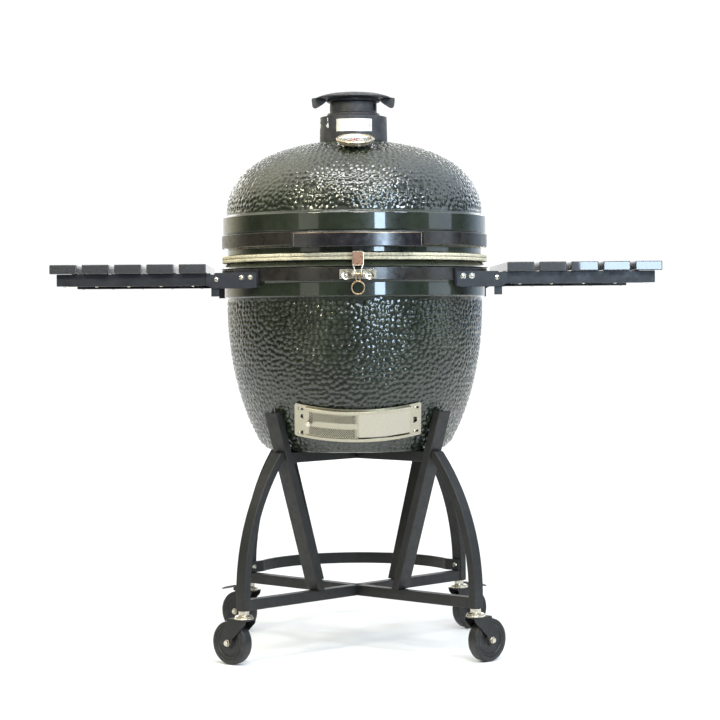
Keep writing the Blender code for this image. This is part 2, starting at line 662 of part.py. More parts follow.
def make_rear_bar(look):
    """Flat bar bowed out behind, with end tabs against the inner faces of the rear legs."""
    tab_radius = LEG_OUTER - LEG_THICK - 3 * GAP - BAR_THICK
    bow_x, bow_y, bow_back = 0.2304, 0.2752, 0.4380
    rise = bow_back - bow_y
    radius = (bow_x ** 2 + rise ** 2) / (2 * rise)
    centre = (0.0, bow_back - radius)
    start = math.atan2(bow_y - centre[1], bow_x)
    inner = arc(centre, radius, start, math.pi - start, 16)
    outer = arc(centre, radius + BAR_THICK, start, math.pi - start, 16)
    root = math.sqrt(0.5)
    tab_inner = ((tab_radius + 0.012) * root, (tab_radius - 0.012) * root)
    tab_outer = ((tab_radius + BAR_THICK + 0.012) * root, (tab_radius + BAR_THICK - 0.012) * root)
    outline = [tab_inner] + inner + [(-tab_inner[0], tab_inner[1])]
    outline += [(-tab_outer[0], tab_outer[1])] + outer[::-1] + [tab_outer]
    place_object("rear_bar", prism(outline, *BAR_Z), look)


# ---------------------------------------------------------------- casters

def make_fork_mesh(with_pedal):
    """A caster fork with its stem at the origin and its wheel toward +X."""
    cheek = [(-0.020, 0.1035), (-0.018, 0.096), (0.020, 0.060)]
    cheek += arc((TRAIL, WHEEL_RADIUS), 0.0125, math.radians(200), math.radians(370), 5)
    cheek += [(0.0500, 0.075), (0.0340, 0.1035)]
    upright = axes((0, 0, 0), (1, 0, 0), (0, 0, 1))
    sheets = [prism(cheek, side * 0.0170 - 0.0014, side * 0.0170 + 0.0014, upright)
              for side in (-1.0, 1.0)]
    crown = block((-0.021, -0.0184, 0.1030), (0.0345, 0.0184, 0.1065))
    race = turned([(0.0, 0.1060), (0.0225, 0.1060), (0.0225, 0.1100), (0.0175, 0.1150),
                   (0.0175, CASTER_TOP_Z), (0.0, CASTER_TOP_Z)], 16)
    axle = rod((TRAIL, -0.0235, WHEEL_RADIUS), (TRAIL, 0.0235, WHEEL_RADIUS), AXLE_RADIUS, 12)
    nuts = [rod((TRAIL, side * 0.0178, WHEEL_RADIUS), (TRAIL, side * 0.0225, WHEEL_RADIUS), 0.0075, 6)
            for side in (-1.0, 1.0)]
    pieces = [crown, race, axle, *sheets, *nuts]
    if with_pedal:
        pieces += [block((0.0300, side * 0.0140, 0.1060), (0.0420, side * 0.0165, 0.1165))
                   for side in (-1.0, 1.0)]
        pieces.append(rod((0.0365, -0.0150, 0.1120), (0.0365, 0.0150, 0.1120), 0.0020, 8))
        crown_lip = block((0.0250, -0.0170, 0.1030), (0.0420, 0.0170, 0.1062))
        pieces.append(crown_lip)
    return join(*pieces)


def make_wheel_mesh():
    side = [(0.0048, 0.0150), (0.0130, 0.0150), (0.0145, 0.0105), (0.0330, 0.0100)]
    side += [(0.0355, WHEEL_HALF), (0.0450, WHEEL_HALF), (WHEEL_RADIUS, 0.0100)]
    outline = side + [(radius, -along) for radius, along in reversed(side)]
    return turned(outline, WHEEL_STEPS, axes((0, 0, 0), (1, 0, 0), (0, 0, 1)))


def make_pedal_mesh():
    """A brake pedal with its hinge tube at the origin, reaching toward +X."""
    tube = cut(rod((0, -0.0130, 0), (0, 0.0130, 0), 0.0045, 10),
               rod((0, -0.0160, 0), (0, 0.0160, 0), 0.0027, 10))
    plate = [(0.0020, 0.0020), (0.0480, -0.0060), (0.0480, -0.0100), (0.0300, -0.0062), (0.0035, -0.0015)]
    return join(tube, prism(plate, -0.0130, 0.0130, axes((0, 0, 0), (1, 0, 0), (0, 0, 1))))


def make_casters(frame_look, tyre_look, pedal_look):
    for end_name, end in ENDS:
        fork = make_fork_mesh(end > 0)
        wheel = make_wheel_mesh()
        for side_name, side in SIDES:
            name = "_" + end_name + "_" + side_name
            heading = math.pi - TRAIL_ANGLE if side < 0 else TRAIL_ANGLE
            turn = Matrix.Rotation(heading, 4, "Z")
            foot = Vector((side * FOOT, end * FOOT, 0.0))
            place = Matrix.Translation(foot) @ turn
            body = fork.copy()
            body.transform(place)
            place_object("caster_fork" + name, body, frame_look, foot)
            hub = place @ Vector((TRAIL, 0.0, WHEEL_RADIUS))
            tyre = wheel.copy()
            tyre.transform(Matrix.Translation(hub) @ turn)
            place_object("wheel" + name, tyre, tyre_look, hub)
            if end > 0:
                hinge = place @ Vector((0.0365, 0.0, 0.1120))
                pedal = make_pedal_mesh()
                pedal.transform(Matrix.Translation(hinge) @ turn)
                place_object("brake_pedal" + name, pedal, pedal_look, hinge)


# ---------------------------------------------------------------- side shelves

def make_bracket(side, end, look, name):
    """Hinge bracket clamped to the lower band, with the pin that carries a shelf arm."""
    y0, y1 = BRACKET_Y
    outline = [(0.2278, 0.8620), (0.2278, 0.8960), (0.3250, 0.8960), (0.3280, 0.8915)]
    outline += [(0.3340, 0.8915), (0.3370, 0.8960), (0.3460, 0.8930), (0.3460, 0.8680), (0.3300, 0.8600)]
    outline += [(0.2450, 0.8600)]
    plate = prism(outline, y0, y1, axes((0, 0, 0), (1, 0, 0), (0, 0, 1)))
    foot = sweep_arc([(0.3180, 0.8640), (0.3222, 0.8640), (0.3222, 0.9040), (0.3180, 0.9040)],
                     math.radians(44.6), math.radians(62), 6)
    in_plate = (y0 + y1) / 2
    past_arm = ARM_Y[0] - 0.0025
    pin = rod((SHELF_PIVOT_X, -in_plate, SHELF_PIVOT_Z),
              (SHELF_PIVOT_X, -past_arm, SHELF_PIVOT_Z), 0.0038, 12)
    mesh = mirrored(join(plate, foot, pin), side)
    bm = bmesh.new()
    bm.from_mesh(mesh)
    bmesh.ops.scale(bm, vec=(1.0, -end, 1.0), verts=bm.verts)
    place_object(name, closed(bm), look)


def make_shelf_frame(side, look, name):
    """Two angle-iron arms tied by two flat bars, set high so that the folded shelf clears the bowl."""
    y0, y1 = ARM_Y
    low, high = ARM_Z
    web = [(0.3100, 0.8700), (0.3150, low), (ARM_END_X, low), (ARM_END_X, high), (0.3400, high)]
    web += [(0.3280, 0.8910), (0.3100, 0.8910)]
    hole = rod((SHELF_PIVOT_X, -0.24, SHELF_PIVOT_Z), (SHELF_PIVOT_X, 0.24, SHELF_PIVOT_Z), 0.0045, 12)
    pieces = []
    for end in (-1.0, 1.0):
        flat = axes((0, 0, 0), (1, 0, 0), (0, 0, 1))
        near, far = sorted((-end * y0, -end * y1))
        pieces.append(cut(prism(web, near, far, flat), hole))
        pieces.append(block((0.3560, end * 0.2210, low - 0.0005), (0.6620, end * 0.1960, low + 0.0025)))
        stop = block((0.3160, end * y1, 0.8415), (0.3340, end * y0, low + 0.004))
        pieces.append(stop)
    for x in (0.3720, 0.6480):
        pieces.append(block((x - 0.010, -0.2190, high - 0.0045), (x + 0.010, 0.2190, high - 0.0005)))
    mesh = mirrored(join(*pieces), side)
    place_object(name, mesh, look, (side * SHELF_PIVOT_X, 0.0, SHELF_PIVOT_Z))


def make_shelves(steel, boards):
    for side_name, side in SIDES:
        for end_name, end in ENDS:
            make_bracket(side, end, steel, "shelf_bracket_" + end_name + "_" + side_name)
        make_shelf_frame(side, steel, "shelf_frame_" + side_name)
        for number in range(SLATS_PER_SIDE):
            inner = SLAT_INNER_X + number * SLAT_PITCH
            slat = bevelled(block((side * inner, -SLAT_HALF_LENGTH, SLAT_Z[0]),
                                  (side * (inner + SLAT_WIDTH), SLAT_HALF_LENGTH, SLAT_Z[1])), 0.0015)
            place_object("shelf_slat_" + side_name + "_" + str(number + 1), slat, boards,
                         (side * SHELF_PIVOT_X, 0.0, SHELF_PIVOT_Z))


def main():
    clear_scene()
    root = bpy.data.objects.new("body_axis", None)
    root.location = (0.0, AXIS_Y, 0.0)
    bpy.context.scene.collection.objects.link(root)
    glaze = finish("green_glaze", (0.055, 0.085, 0.070), 0.18)
    clay = finish("fired_clay", (0.46, 0.38, 0.30), 0.90)
    felt = finish("mesh_gasket", (0.55, 0.52, 0.44), 0.85)
    black = finish("black_powder_coat", (0.018, 0.018, 0.020), 0.45, 0.2)
    iron = finish("cast_iron", (0.022, 0.024, 0.027), 0.50, 0.4)
    gloss = finish("black_handle", (0.010, 0.010, 0.012), 0.15)
    steel = finish("stainless_steel", (0.62, 0.61, 0.57), 0.28, 1.0)
    copper = finish("coppered_steel", (0.45, 0.25, 0.16), 0.35, 1.0)
    tyre = finish("wheel_plastic", (0.035, 0.036, 0.038), 0.42)
    pedal = finish("pedal_plastic", (0.09, 0.09, 0.10), 0.55)
    boards = finish("dark_composite", (0.022, 0.023, 0.026), 0.60)
    needle = finish("needle_red", (0.50, 0.03, 0.02), 0.50)

    make_base_shell(glaze)
    make_dome_shell(glaze)
    make_seals_and_bands(felt, black)
    make_fire_parts(clay, iron, steel)
    make_vent(iron)
    make_thermometer(steel, needle)
    make_hinge(iron, steel)
    make_handle(gloss, iron)
    make_latch(steel, copper)
    make_draft_door(steel, steel)
    make_crosses(black)
    make_legs(black)
    make_rear_bar(black)
    make_casters(iron, tyre, pedal)
    make_shelves(black, boards)


main()
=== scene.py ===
"""Looks of a kamado ceramic grill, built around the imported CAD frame.

Lengths are metres. Shapes are drawn around the ceramic body's own axis and then moved to where the
frame has that axis. "Left" is -X and "right" is +X, as someone facing the grill sees them.
"""
import math

import bmesh
import bpy
import numpy as np
from mathutils import Matrix, Vector


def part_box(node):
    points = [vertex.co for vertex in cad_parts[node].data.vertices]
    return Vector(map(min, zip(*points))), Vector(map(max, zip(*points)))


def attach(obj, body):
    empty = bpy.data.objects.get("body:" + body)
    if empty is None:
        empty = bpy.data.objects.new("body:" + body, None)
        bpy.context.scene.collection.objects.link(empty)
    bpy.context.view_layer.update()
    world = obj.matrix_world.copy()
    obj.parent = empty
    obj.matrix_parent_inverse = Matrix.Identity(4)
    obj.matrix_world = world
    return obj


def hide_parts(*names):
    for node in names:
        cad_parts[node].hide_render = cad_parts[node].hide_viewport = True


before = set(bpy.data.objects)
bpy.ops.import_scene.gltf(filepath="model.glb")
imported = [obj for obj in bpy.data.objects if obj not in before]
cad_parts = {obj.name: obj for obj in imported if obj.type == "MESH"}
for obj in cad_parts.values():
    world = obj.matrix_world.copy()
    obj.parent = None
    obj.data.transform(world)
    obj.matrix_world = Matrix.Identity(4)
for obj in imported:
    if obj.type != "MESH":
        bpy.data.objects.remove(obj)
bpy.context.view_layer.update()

ROOT = "stand_and_base"
SIDES = (("left", -1.0), ("right", 1.0))
ENDS = (("front", -1.0), ("rear", 1.0))


def centre_of(node):
    low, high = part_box(node)
    return (low + high) / 2


AXIS = Vector((centre_of("base_band").x, centre_of("base_band").y, 0.0))

# Ceramic body
BODY_RADIUS = 0.3048
BOWL_CENTRE_Z = 0.819
BOWL_DEPTH = 0.492
BOWL_BOTTOM_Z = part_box("base_shell")[0].z
WALL = 0.028
INNER_FLOOR_Z = 0.5085
MOUTH_RADIUS = 0.276
LIP_INNER = 0.3036
LIP_OUTER = 0.3204
BASE_RIM = (0.311, 0.838, 0.8725)
LID_RIM = (0.3144, 0.9905, 1.0315)
BAND_SEAT = 0.3127
BAND_INNER = 0.3130
BAND_OUTER = 0.3170
BASE_BAND_Z = (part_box("base_band")[0].z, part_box("base_band")[1].z)
LID_BAND_Z = (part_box("lid_band")[0].z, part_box("lid_band")[1].z)
BASE_TOP_Z = 0.9217
LID_BOTTOM_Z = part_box("dome_shell")[0].z
DOME_CENTRE_Z = 1.035
DOME_HEIGHT = 0.1776
DOME_POWER = 2.3
COLLAR_BOTTOM_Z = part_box("vent_collar")[0].z
CHIMNEY_HOLE = 0.050
CHIMNEY_NECK = 0.0650
CHIMNEY_TOP_Z = 1.2375
PEBBLE_PITCH = 0.0112
PEBBLE_ROW = 0.0031
PEBBLE_RELIEF = 0.0031
PEBBLE_JITTER = 0.42                     # share of the pitch
PEBBLE_STRETCH = 1.12                    # round the body, against up it
PEBBLE_ROUND = 2.1                       # power of the crown: higher is flatter
PEBBLE_FADE = 0.010                      # where the pebbles run out into the plain rims
PLAIN_RELIEF = 0.6
ROUND_STEPS = 560

# Draft door, curved about an axis square to the bowl's slope
DOOR_CENTRE_Z = 0.6502
DOOR_TILT = math.radians(22.56)
PORT_LOW = (-0.104, -0.026)
PORT_HIGH = (-0.014, 0.026)
FRAME_BACK = 0.2768
FRAME_FRONT = 0.2783
SEAT_TURN = math.radians(33.0)
SEAT_HALF_HEIGHT = 0.0440
SEAT_NEAREST = 0.26

# Thermometer, square to the dome
DIAL_DISTANCE = 0.168
DIAL_SURFACE_Z = 1.1913
DIAL_TILT = math.radians(17.6)

# Rear hinge, handle and latch
PIN_Y = 0.372
PIN_Z = 0.945
LATCH_Y = -0.333
LATCH_Z = 0.889
POST_X = 0.100

# Stand
TUBE = 0.025
LOWER_CROSS_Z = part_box("lower_cross")[0].z
UPPER_CROSS_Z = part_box("upper_cross")[0].z
FOOT = 0.2645
LEG_OUTER = 0.385
LEG_THICK = 0.020
LEG_WIDE = 0.030
LEG_BEND_Z = 0.160
LEG_BEND_RADIUS = 0.490
LEG_TOP_Z = 0.480
STRUT_WIDE = 0.040
STRUT_FOOT = (0.140, 0.1503)
STRUT_HEAD = (0.2762, 0.573)
BAR_Z = (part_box("rear_bar")[0].z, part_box("rear_bar")[1].z)
BAR_THICK = 0.006
WHEEL_RADIUS = 0.050
TRAIL = 0.036
TRAIL_ANGLE = math.radians(40.0)
PEDAL_HINGE = (0.0365, 0.1120)

# Side shelves
SHELF_PIVOT_X = 0.322
SHELF_PIVOT_Z = 0.881
ARM_Y = (0.2185, 0.2215)
BRACKET_Y = (0.2225, 0.2255)
ARM_Z = (0.867, 0.8945)
ARM_END_X = 0.687


# ---------------------------------------------------------------- mesh tools

def arc(centre, radius, start, end, steps):
    """Points along an arc, both ends included."""
    angles = [start + (end - start) * step / steps for step in range(steps + 1)]
    return [(centre[0] + radius * math.cos(angle), centre[1] + radius * math.sin(angle))
            for angle in angles]


def spread(first, last, steps):
    """Evenly spaced values, both ends included."""
    return [first + (last - first) * step / steps for step in range(steps + 1)]


def rounded(outline, radius, steps=3, closed=True):
    """Replace each corner of an outline by a small curve."""
    made = []
    count = len(outline)
    for number, point in enumerate(outline):
        here = Vector(point)
        if not closed and number in (0, count - 1):
            made.append(tuple(here))
            continue
        before = Vector(outline[number - 1]) - here
        after = Vector(outline[(number + 1) % count]) - here
        reach_before = min(radius, before.length * 0.45)
        reach_after = min(radius, after.length * 0.45)
        start = here + before.normalized() * reach_before
        end = here + after.normalized() * reach_after
        for step in range(steps + 1):
            t = step / steps
            made.append(tuple(start * (1 - t) ** 2 + here * (2 * t * (1 - t)) + end * t ** 2))
    return made


def outward(bm):
    """Make a closed bmesh's faces point out."""
    bmesh.ops.recalc_face_normals(bm, faces=bm.faces)
    if bm.calc_volume(signed=True) < 0.0:
        bmesh.ops.reverse_faces(bm, faces=bm.faces)


def show(name, data):
    """A new object in the scene."""
    piece = bpy.data.objects.new(name, data)
    bpy.context.scene.collection.objects.link(piece)
    return piece


def evaluated(piece):
    """The mesh of an object with its modifiers or curve settings worked out."""
    graph = bpy.context.evaluated_depsgraph_get()
    return bpy.data.meshes.new_from_object(piece.evaluated_get(graph))


def as_mesh(bm):
    outward(bm)
    mesh = bpy.data.meshes.new("shape")
    bm.to_mesh(mesh)
    bm.free()
    return mesh


def grid_mesh(points, loop_rows):
    """Quads over a (rows, columns, 3) array whose columns close into rings; rows may close too."""
    rows, columns, _ = points.shape
    index = np.arange(rows * columns).reshape(rows, columns)
    below = np.vstack([index, index[:1]]) if loop_rows else index
    right = np.roll(below, -1, axis=1)
    quads = np.stack([below[:-1], right[:-1], right[1:], below[1:]], axis=-1).reshape(-1, 4)
    mesh = bpy.data.meshes.new("shape")
    mesh.vertices.add(rows * columns)
    mesh.vertices.foreach_set("co", points.reshape(-1).astype(np.float32))
    mesh.loops.add(quads.size)
    mesh.loops.foreach_set("vertex_index", quads.reshape(-1).astype(np.int32))
    mesh.polygons.add(len(quads))
    mesh.polygons.foreach_set("loop_start", np.arange(0, quads.size, 4, dtype=np.int32))
    mesh.update(calc_edges=True)
    mesh.validate()
    return mesh


def lathe(outline, steps=96, place=Matrix()):
    """Solid of revolution about Z from (radius, z) points; it may start and end on the axis."""
    bm = bmesh.new()
    points = [bm.verts.new((radius, 0.0, z)) for radius, z in outline]
    pairs = list(zip(points, points[1:]))
    if outline[0][0] > 0.0:
        pairs.append((points[-1], points[0]))
    edges = [bm.edges.new(pair) for pair in pairs]
    bmesh.ops.spin(bm, geom=points + edges, cent=(0, 0, 0), axis=(0, 0, 1),
                   angle=2 * math.pi, steps=steps, use_duplicate=False)
    bmesh.ops.remove_doubles(bm, verts=bm.verts, dist=1e-6)
    bm.transform(place)
    return as_mesh(bm)


def prism(outline, low, high, place=Matrix(), bevel=0.0, segments=2):
    """A flat outline in X and Y, extruded along Z, with softened edges."""
    bm = bmesh.new()
    base = bm.faces.new([bm.verts.new((x, y, low)) for x, y in outline])
    grown = bmesh.ops.extrude_face_region(bm, geom=[base])["geom"]
    moved = [item for item in grown if isinstance(item, bmesh.types.BMVert)]
    bmesh.ops.translate(bm, verts=moved, vec=(0.0, 0.0, high - low))
    outward(bm)
    if bevel > 0.0:
        sharp = [edge for edge in bm.edges if edge.calc_face_angle(0.0) > math.radians(25)]
        bmesh.ops.bevel(bm, geom=sharp, offset=bevel, segments=segments, profile=0.5,
                        affect="EDGES", clamp_overlap=True)
    bm.transform(place)
    return as_mesh(bm)


def block(low, high, bevel=0.0, segments=2, place=Matrix()):
    """A box between two corners, with softened edges."""
    x0, x1 = sorted((low[0], high[0]))
    y0, y1 = sorted((low[1], high[1]))
    z0, z1 = sorted((low[2], high[2]))
    return prism([(x0, y0), (x1, y0), (x1, y1), (x0, y1)], z0, z1, place, bevel, segments)


def along(start, end):
    """Placement whose Z runs from one point to another."""
    start = Vector(start)
    run = Vector(end) - start
    return Matrix.Translation(start) @ run.to_track_quat("Z", "Y").to_matrix().to_4x4(), run.length


def rod(start, end, radius, sides=24, bevel=0.0):
    """A round bar between two points."""
    place, length = along(start, end)
    soft = min(bevel, radius * 0.4)
    outline = [(0.0, 0.0), (radius - soft, 0.0), (radius, soft), (radius, length - soft)]
    outline += [(radius - soft, length), (0.0, length)]
    if soft == 0.0:
        outline = [(0.0, 0.0), (radius, 0.0), (radius, length), (0.0, length)]
    return lathe(outline, sides, place)


def tube_along(points, radius, sides=12, closed=False):
    """A round wire that follows a list of points."""
    path = [Vector(point) for point in points]
    count = len(path)
    rings = []
    normal = None
    for number, point in enumerate(path):
        before = path[(number - 1) % count] if closed or number else point
        after = path[(number + 1) % count] if closed or number < count - 1 else point
        tangent = (after - before).normalized()
        if normal is None:
            normal = tangent.orthogonal().normalized()
        normal = (normal - tangent * normal.dot(tangent)).normalized()
        side = tangent.cross(normal)
        ring = [point + (normal * math.cos(a) + side * math.sin(a)) * radius
                for a in spread(0.0, 2 * math.pi, sides)[:-1]]
        rings.append(ring)
    bm = bmesh.new()
    made = [[bm.verts.new(point) for point in ring] for ring in rings]
    pairs = list(zip(made, made[1:]))
    if closed:
        pairs.append((made[-1], made[0]))
    for ring, following in pairs:
        for number in range(sides):
            other = (number + 1) % sides
            bm.faces.new((ring[number], ring[other], following[other], following[number]))
    if not closed:
        bm.faces.new(made[0])
        bm.faces.new(made[-1])
    return as_mesh(bm)


def sweep_arc(profile, start, end, steps, place=Matrix()):
    """A (radius, z) outline swept about Z between two angles measured from -Y toward +X."""
    bm = bmesh.new()
    base = bm.faces.new([bm.verts.new((0.0, -radius, z)) for radius, z in profile])
    bmesh.ops.rotate(bm, verts=bm.verts, cent=(0, 0, 0), matrix=Matrix.Rotation(start, 3, "Z"))
    bmesh.ops.spin(bm, geom=[base] + base.verts[:] + base.edges[:], cent=(0, 0, 0), axis=(0, 0, 1),
                   angle=end - start, steps=steps, use_duplicate=False)
    bm.transform(place)
    return as_mesh(bm)


def gather(*meshes):
    """Several closed shapes in one mesh."""
    bm = bmesh.new()
    for mesh in meshes:
        bm.from_mesh(mesh)
    joined = bpy.data.meshes.new("shape")
    bm.to_mesh(joined)
    bm.free()
    return joined


def moved(mesh, place):
    """A copy of a mesh at another place."""
    copy = mesh.copy()
    copy.transform(place)
    return copy


def carve(base, tools):
    """Cut meshes out of another one."""
    solid = show("solid", base)
    helpers = [show("tool", tool) for tool in tools]
    for helper in helpers:
        step = solid.modifiers.new("step", "BOOLEAN")
        step.operation = "DIFFERENCE"
        step.solver = "EXACT"
        step.object = helper
    made = evaluated(solid)
    for used in helpers + [solid]:
        bpy.data.objects.remove(used, do_unlink=True)
    return made


def axes(origin, x_axis, y_axis):
    """A placement from an origin and two directions at right angles."""
    x_axis = Vector(x_axis).normalized()
    y_axis = Vector(y_axis).normalized()
    turn = Matrix((x_axis, y_axis, x_axis.cross(y_axis))).transposed().to_4x4()
    return Matrix.Translation(Vector(origin)) @ turn


UPRIGHT = axes((0, 0, 0), (1, 0, 0), (0, 0, 1))


def across(x):
    """Placement that turns an outline of (y, z) into a plate at a distance along X."""
    return axes((x, 0, 0), (0, 1, 0), (0, 0, 1))


def mirrored(mesh, side_x=1.0, side_y=1.0):
    """A copy mirrored left to right or front to back."""
    bm = bmesh.new()
    bm.from_mesh(mesh)
    bmesh.ops.scale(bm, vec=(side_x, side_y, 1.0), verts=bm.verts)
    return as_mesh(bm)


def put(name, mesh, look, body, replaces=(), angle=32.0, at_axis=True):
    """Show a mesh as a named piece that rides on a body."""
    if at_axis:
        mesh.transform(Matrix.Translation(AXIS))
    mesh.name = name
    mesh.materials.clear()
    mesh.materials.append(look)
    piece = show(name, mesh)
    if not mesh.has_custom_normals:
        mesh.shade_smooth()
        mesh.set_sharp_from_angle(angle=math.radians(angle))
        flatten_shading(piece)
    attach(piece, body)
    if replaces:
        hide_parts(*([replaces] if isinstance(replaces, str) else replaces))
    return piece


FLATTEN_WEIGHT = 60


def flatten_shading(piece):
    """Keep the shading of broad faces flat next to their softened edges."""
    step = piece.modifiers.new("weighted", "WEIGHTED_NORMAL")
    step.keep_sharp = True
    step.weight = FLATTEN_WEIGHT
    made = evaluated(piece)
    piece.modifiers.clear()
    piece.data = made


def hex_bolt(width, height, washer=0.0):
    """A hexagon head with a domed top and a washer under it, along +Z from 0."""
    base = 0.0
    parts = []
    if washer > 0.0:
        base = 0.0014
        parts.append(lathe([(0.0, 0.0), (washer - 0.0003, 0.0), (washer, 0.0003), (washer, 0.0011),
                            (washer - 0.0003, base), (0.0, base)], 32))
    ring = arc((0, 0), width / math.sqrt(3), 0.0, 2 * math.pi, 6)[:-1]
    parts.append(prism(ring, base, base + height, bevel=height * 0.12))
    dome = [(0.0, base + height * 0.9), (width * 0.40, base + height * 0.9),
            (width * 0.36, base + height * 1.10), (0.0, base + height * 1.14)]
    parts.append(lathe(dome, 24))
    return gather(*parts)


def button_bolt(radius, height, socket=True):
    """A round button head with a hexagon socket, along +Z from 0."""
    outline = [(0.0, 0.0)] + [(radius * math.cos(a), height * math.sin(a))
                              for a in spread(0.0, math.radians(72), 6)] + [(0.0, height * 0.97)]
    head = lathe(outline, 28)
    if not socket:
        return head
    ring = arc((0, 0), radius * 0.42, 0.0, 2 * math.pi, 6)[:-1]
    return carve(head, [prism(ring, height * 0.35, height * 2)])


# ---------------------------------------------------------------- materials

# Where the floor's painted shade in front of the grill fades into the pale floor.
FLOOR_SHADE_Y = -1.35
FLOOR_PALE_Y = -0.98


class Look:
    """A Principled material with short ways to add procedural detail."""

    def __init__(self, name, colour, roughness, metallic=0.0, coat=0.0, coat_roughness=0.05):
        self.material = bpy.data.materials.new(name)
        self.material.use_nodes = True
        self.nodes = self.material.node_tree.nodes
        self.links = self.material.node_tree.links
        self.shader = self.nodes["Principled BSDF"]
        self.place = self.nodes.new("ShaderNodeTexCoord").outputs["Object"]
        self.height = None
        self.set("Base Color", (*colour, 1.0))
        self.set("Roughness", roughness)
        self.set("Metallic", metallic)
        self.set("Coat Weight", coat)
        self.set("Coat Roughness", coat_roughness)

    def set(self, socket, value):
        self.shader.inputs[socket].default_value = value

    def stretched(self, scale):
        mapping = self.nodes.new("ShaderNodeMapping")
        mapping.inputs["Scale"].default_value = scale
        self.links.new(self.place, mapping.inputs["Vector"])
        return mapping.outputs["Vector"]

    def noise(self, scale, detail=3.0, stretch=None, rough=0.5):
        texture = self.nodes.new("ShaderNodeTexNoise")
        texture.inputs["Scale"].default_value = scale
        texture.inputs["Detail"].default_value = detail
        texture.inputs["Roughness"].default_value = rough
        self.links.new(self.stretched(stretch) if stretch else self.place, texture.inputs["Vector"])
        return texture.outputs["Fac"]

    def cells(self, scale):
        texture = self.nodes.new("ShaderNodeTexVoronoi")
        texture.inputs["Scale"].default_value = scale
        self.links.new(self.place, texture.inputs["Vector"])
        return texture.outputs["Distance"]

    def attribute(self, name):
        node = self.nodes.new("ShaderNodeAttribute")
        node.attribute_name = name
        return node.outputs["Fac"]

    def ramp(self, source, low, high, low_value, high_value):
        """Map a 0 to 1 value between two limits onto a range of numbers."""
        node = self.nodes.new("ShaderNodeMapRange")
        node.inputs["From Min"].default_value = low
        node.inputs["From Max"].default_value = high
        node.inputs["To Min"].default_value = low_value
        node.inputs["To Max"].default_value = high_value
        self.links.new(source, node.inputs["Value"])
        return node.outputs["Result"]

    def colours(self, source, stops):
        node = self.nodes.new("ShaderNodeValToRGB")
        elements = node.color_ramp.elements
        while len(elements) < len(stops):
            elements.new(0.5)
        for element, (position, colour) in zip(elements, stops):
            element.position = position
            element.color = (*colour, 1.0)
        self.links.new(source, node.inputs["Fac"])
        return node.outputs["Color"]

    def mix(self, factor, first, second, blend="MIX"):
        node = self.nodes.new("ShaderNodeMix")
        node.data_type = "RGBA"
        node.blend_type = blend
        for socket, value in ((node.inputs["Factor"], factor), (node.inputs["A"], first),
                              (node.inputs["B"], second)):
            if isinstance(value, (int, float)):
                socket.default_value = value
            elif isinstance(value, tuple):
                socket.default_value = (*value, 1.0)
            else:
                self.links.new(value, socket)
        return node.outputs["Result"]

    def colour(self, source):
        self.links.new(source, self.shader.inputs["Base Color"])

    def roughness(self, source):
        self.links.new(source, self.shader.inputs["Roughness"])

    def bump(self, source, distance, strength=1.0):
        node = self.nodes.new("ShaderNodeBump")
        node.inputs["Distance"].default_value = distance
        node.inputs["Strength"].default_value = strength
        self.links.new(source, node.inputs["Height"])
        if self.height is not None:
            self.links.new(self.height, node.inputs["Normal"])
        self.height = node.outputs["Normal"]
        self.links.new(self.height, self.shader.inputs["Normal"])


def glaze_look():
    """Green glass glaze: thin and paler on the peaks, darker between them, partly pooled glaze and partly
    painted shade.
    """
    look = Look("green_glaze", (0.05, 0.065, 0.055), 0.30, coat=1.0, coat_roughness=0.05)
    drift = look.colours(look.noise(9.0, 4.0), [(0.35, (0.009, 0.012, 0.007)), (0.52, (0.015, 0.020, 0.012)),
                                                (0.68, (0.025, 0.031, 0.019))])
    # Painted shade: the relief layer darkens the gaps between pebbles, partly as pooled glaze and partly
    # standing in for the shade in the gaps.
    pooled_and_shaded = look.colours(look.attribute("relief"), [(0.0, (0.20, 0.24, 0.20)), (0.6, (1.0, 1.0, 1.0)),
                                                     (1.0, (2.1, 2.0, 1.7))])
    base = look.mix(1.0, drift, pooled_and_shaded, "MULTIPLY")
    speck = look.ramp(look.noise(700.0, 2.0), 0.70, 0.78, 0.0, 0.15)
    look.colour(look.mix(speck, base, (0.11, 0.115, 0.09)))
    look.roughness(look.ramp(look.noise(60.0, 3.0), 0.3, 0.7, 0.24, 0.40))
    look.bump(look.noise(22.0, 2.0), 0.0012, 0.30)
    look.bump(look.noise(140.0, 2.0), 0.0003, 0.10)
    look.set("Specular IOR Level", 0.25)
    return look.material


def clay_look():
    look = Look("fired_clay", (0.42, 0.34, 0.26), 0.92)
    tone = look.colours(look.noise(18.0, 5.0), [(0.3, (0.30, 0.235, 0.175)), (0.5, (0.43, 0.345, 0.26)),
                                                (0.72, (0.52, 0.44, 0.34))])
    soot = look.ramp(look.noise(5.0, 4.0), 0.45, 0.7, 0.0, 0.55)
    look.colour(look.mix(soot, tone, (0.06, 0.052, 0.045)))
    look.bump(look.noise(260.0, 4.0), 0.0008, 0.6)
    return look.material


def coat_look(name, colour, roughness, grain=520.0, depth=0.00025, worn=0.0, coat=0.0):
    """Powder coat or paint: a fine orange peel with slightly uneven gloss."""
    look = Look(name, colour, roughness, 0.0, coat=coat, coat_roughness=0.12)
    pale = tuple(min(1.0, value * 1.35 + 0.002) for value in colour)
    deep = tuple(value * 0.75 for value in colour)
    look.colour(look.colours(look.noise(26.0, 5.0), [(0.32, deep), (0.5, colour), (0.7, pale)]))
    look.roughness(look.ramp(look.noise(70.0, 4.0), 0.3, 0.7, roughness - 0.07, roughness + 0.10))
    look.bump(look.noise(grain, 2.0), depth, 0.45)
    if worn > 0.0:
        look.bump(look.noise(45.0, 5.0), 0.0006, worn)
    return look.material


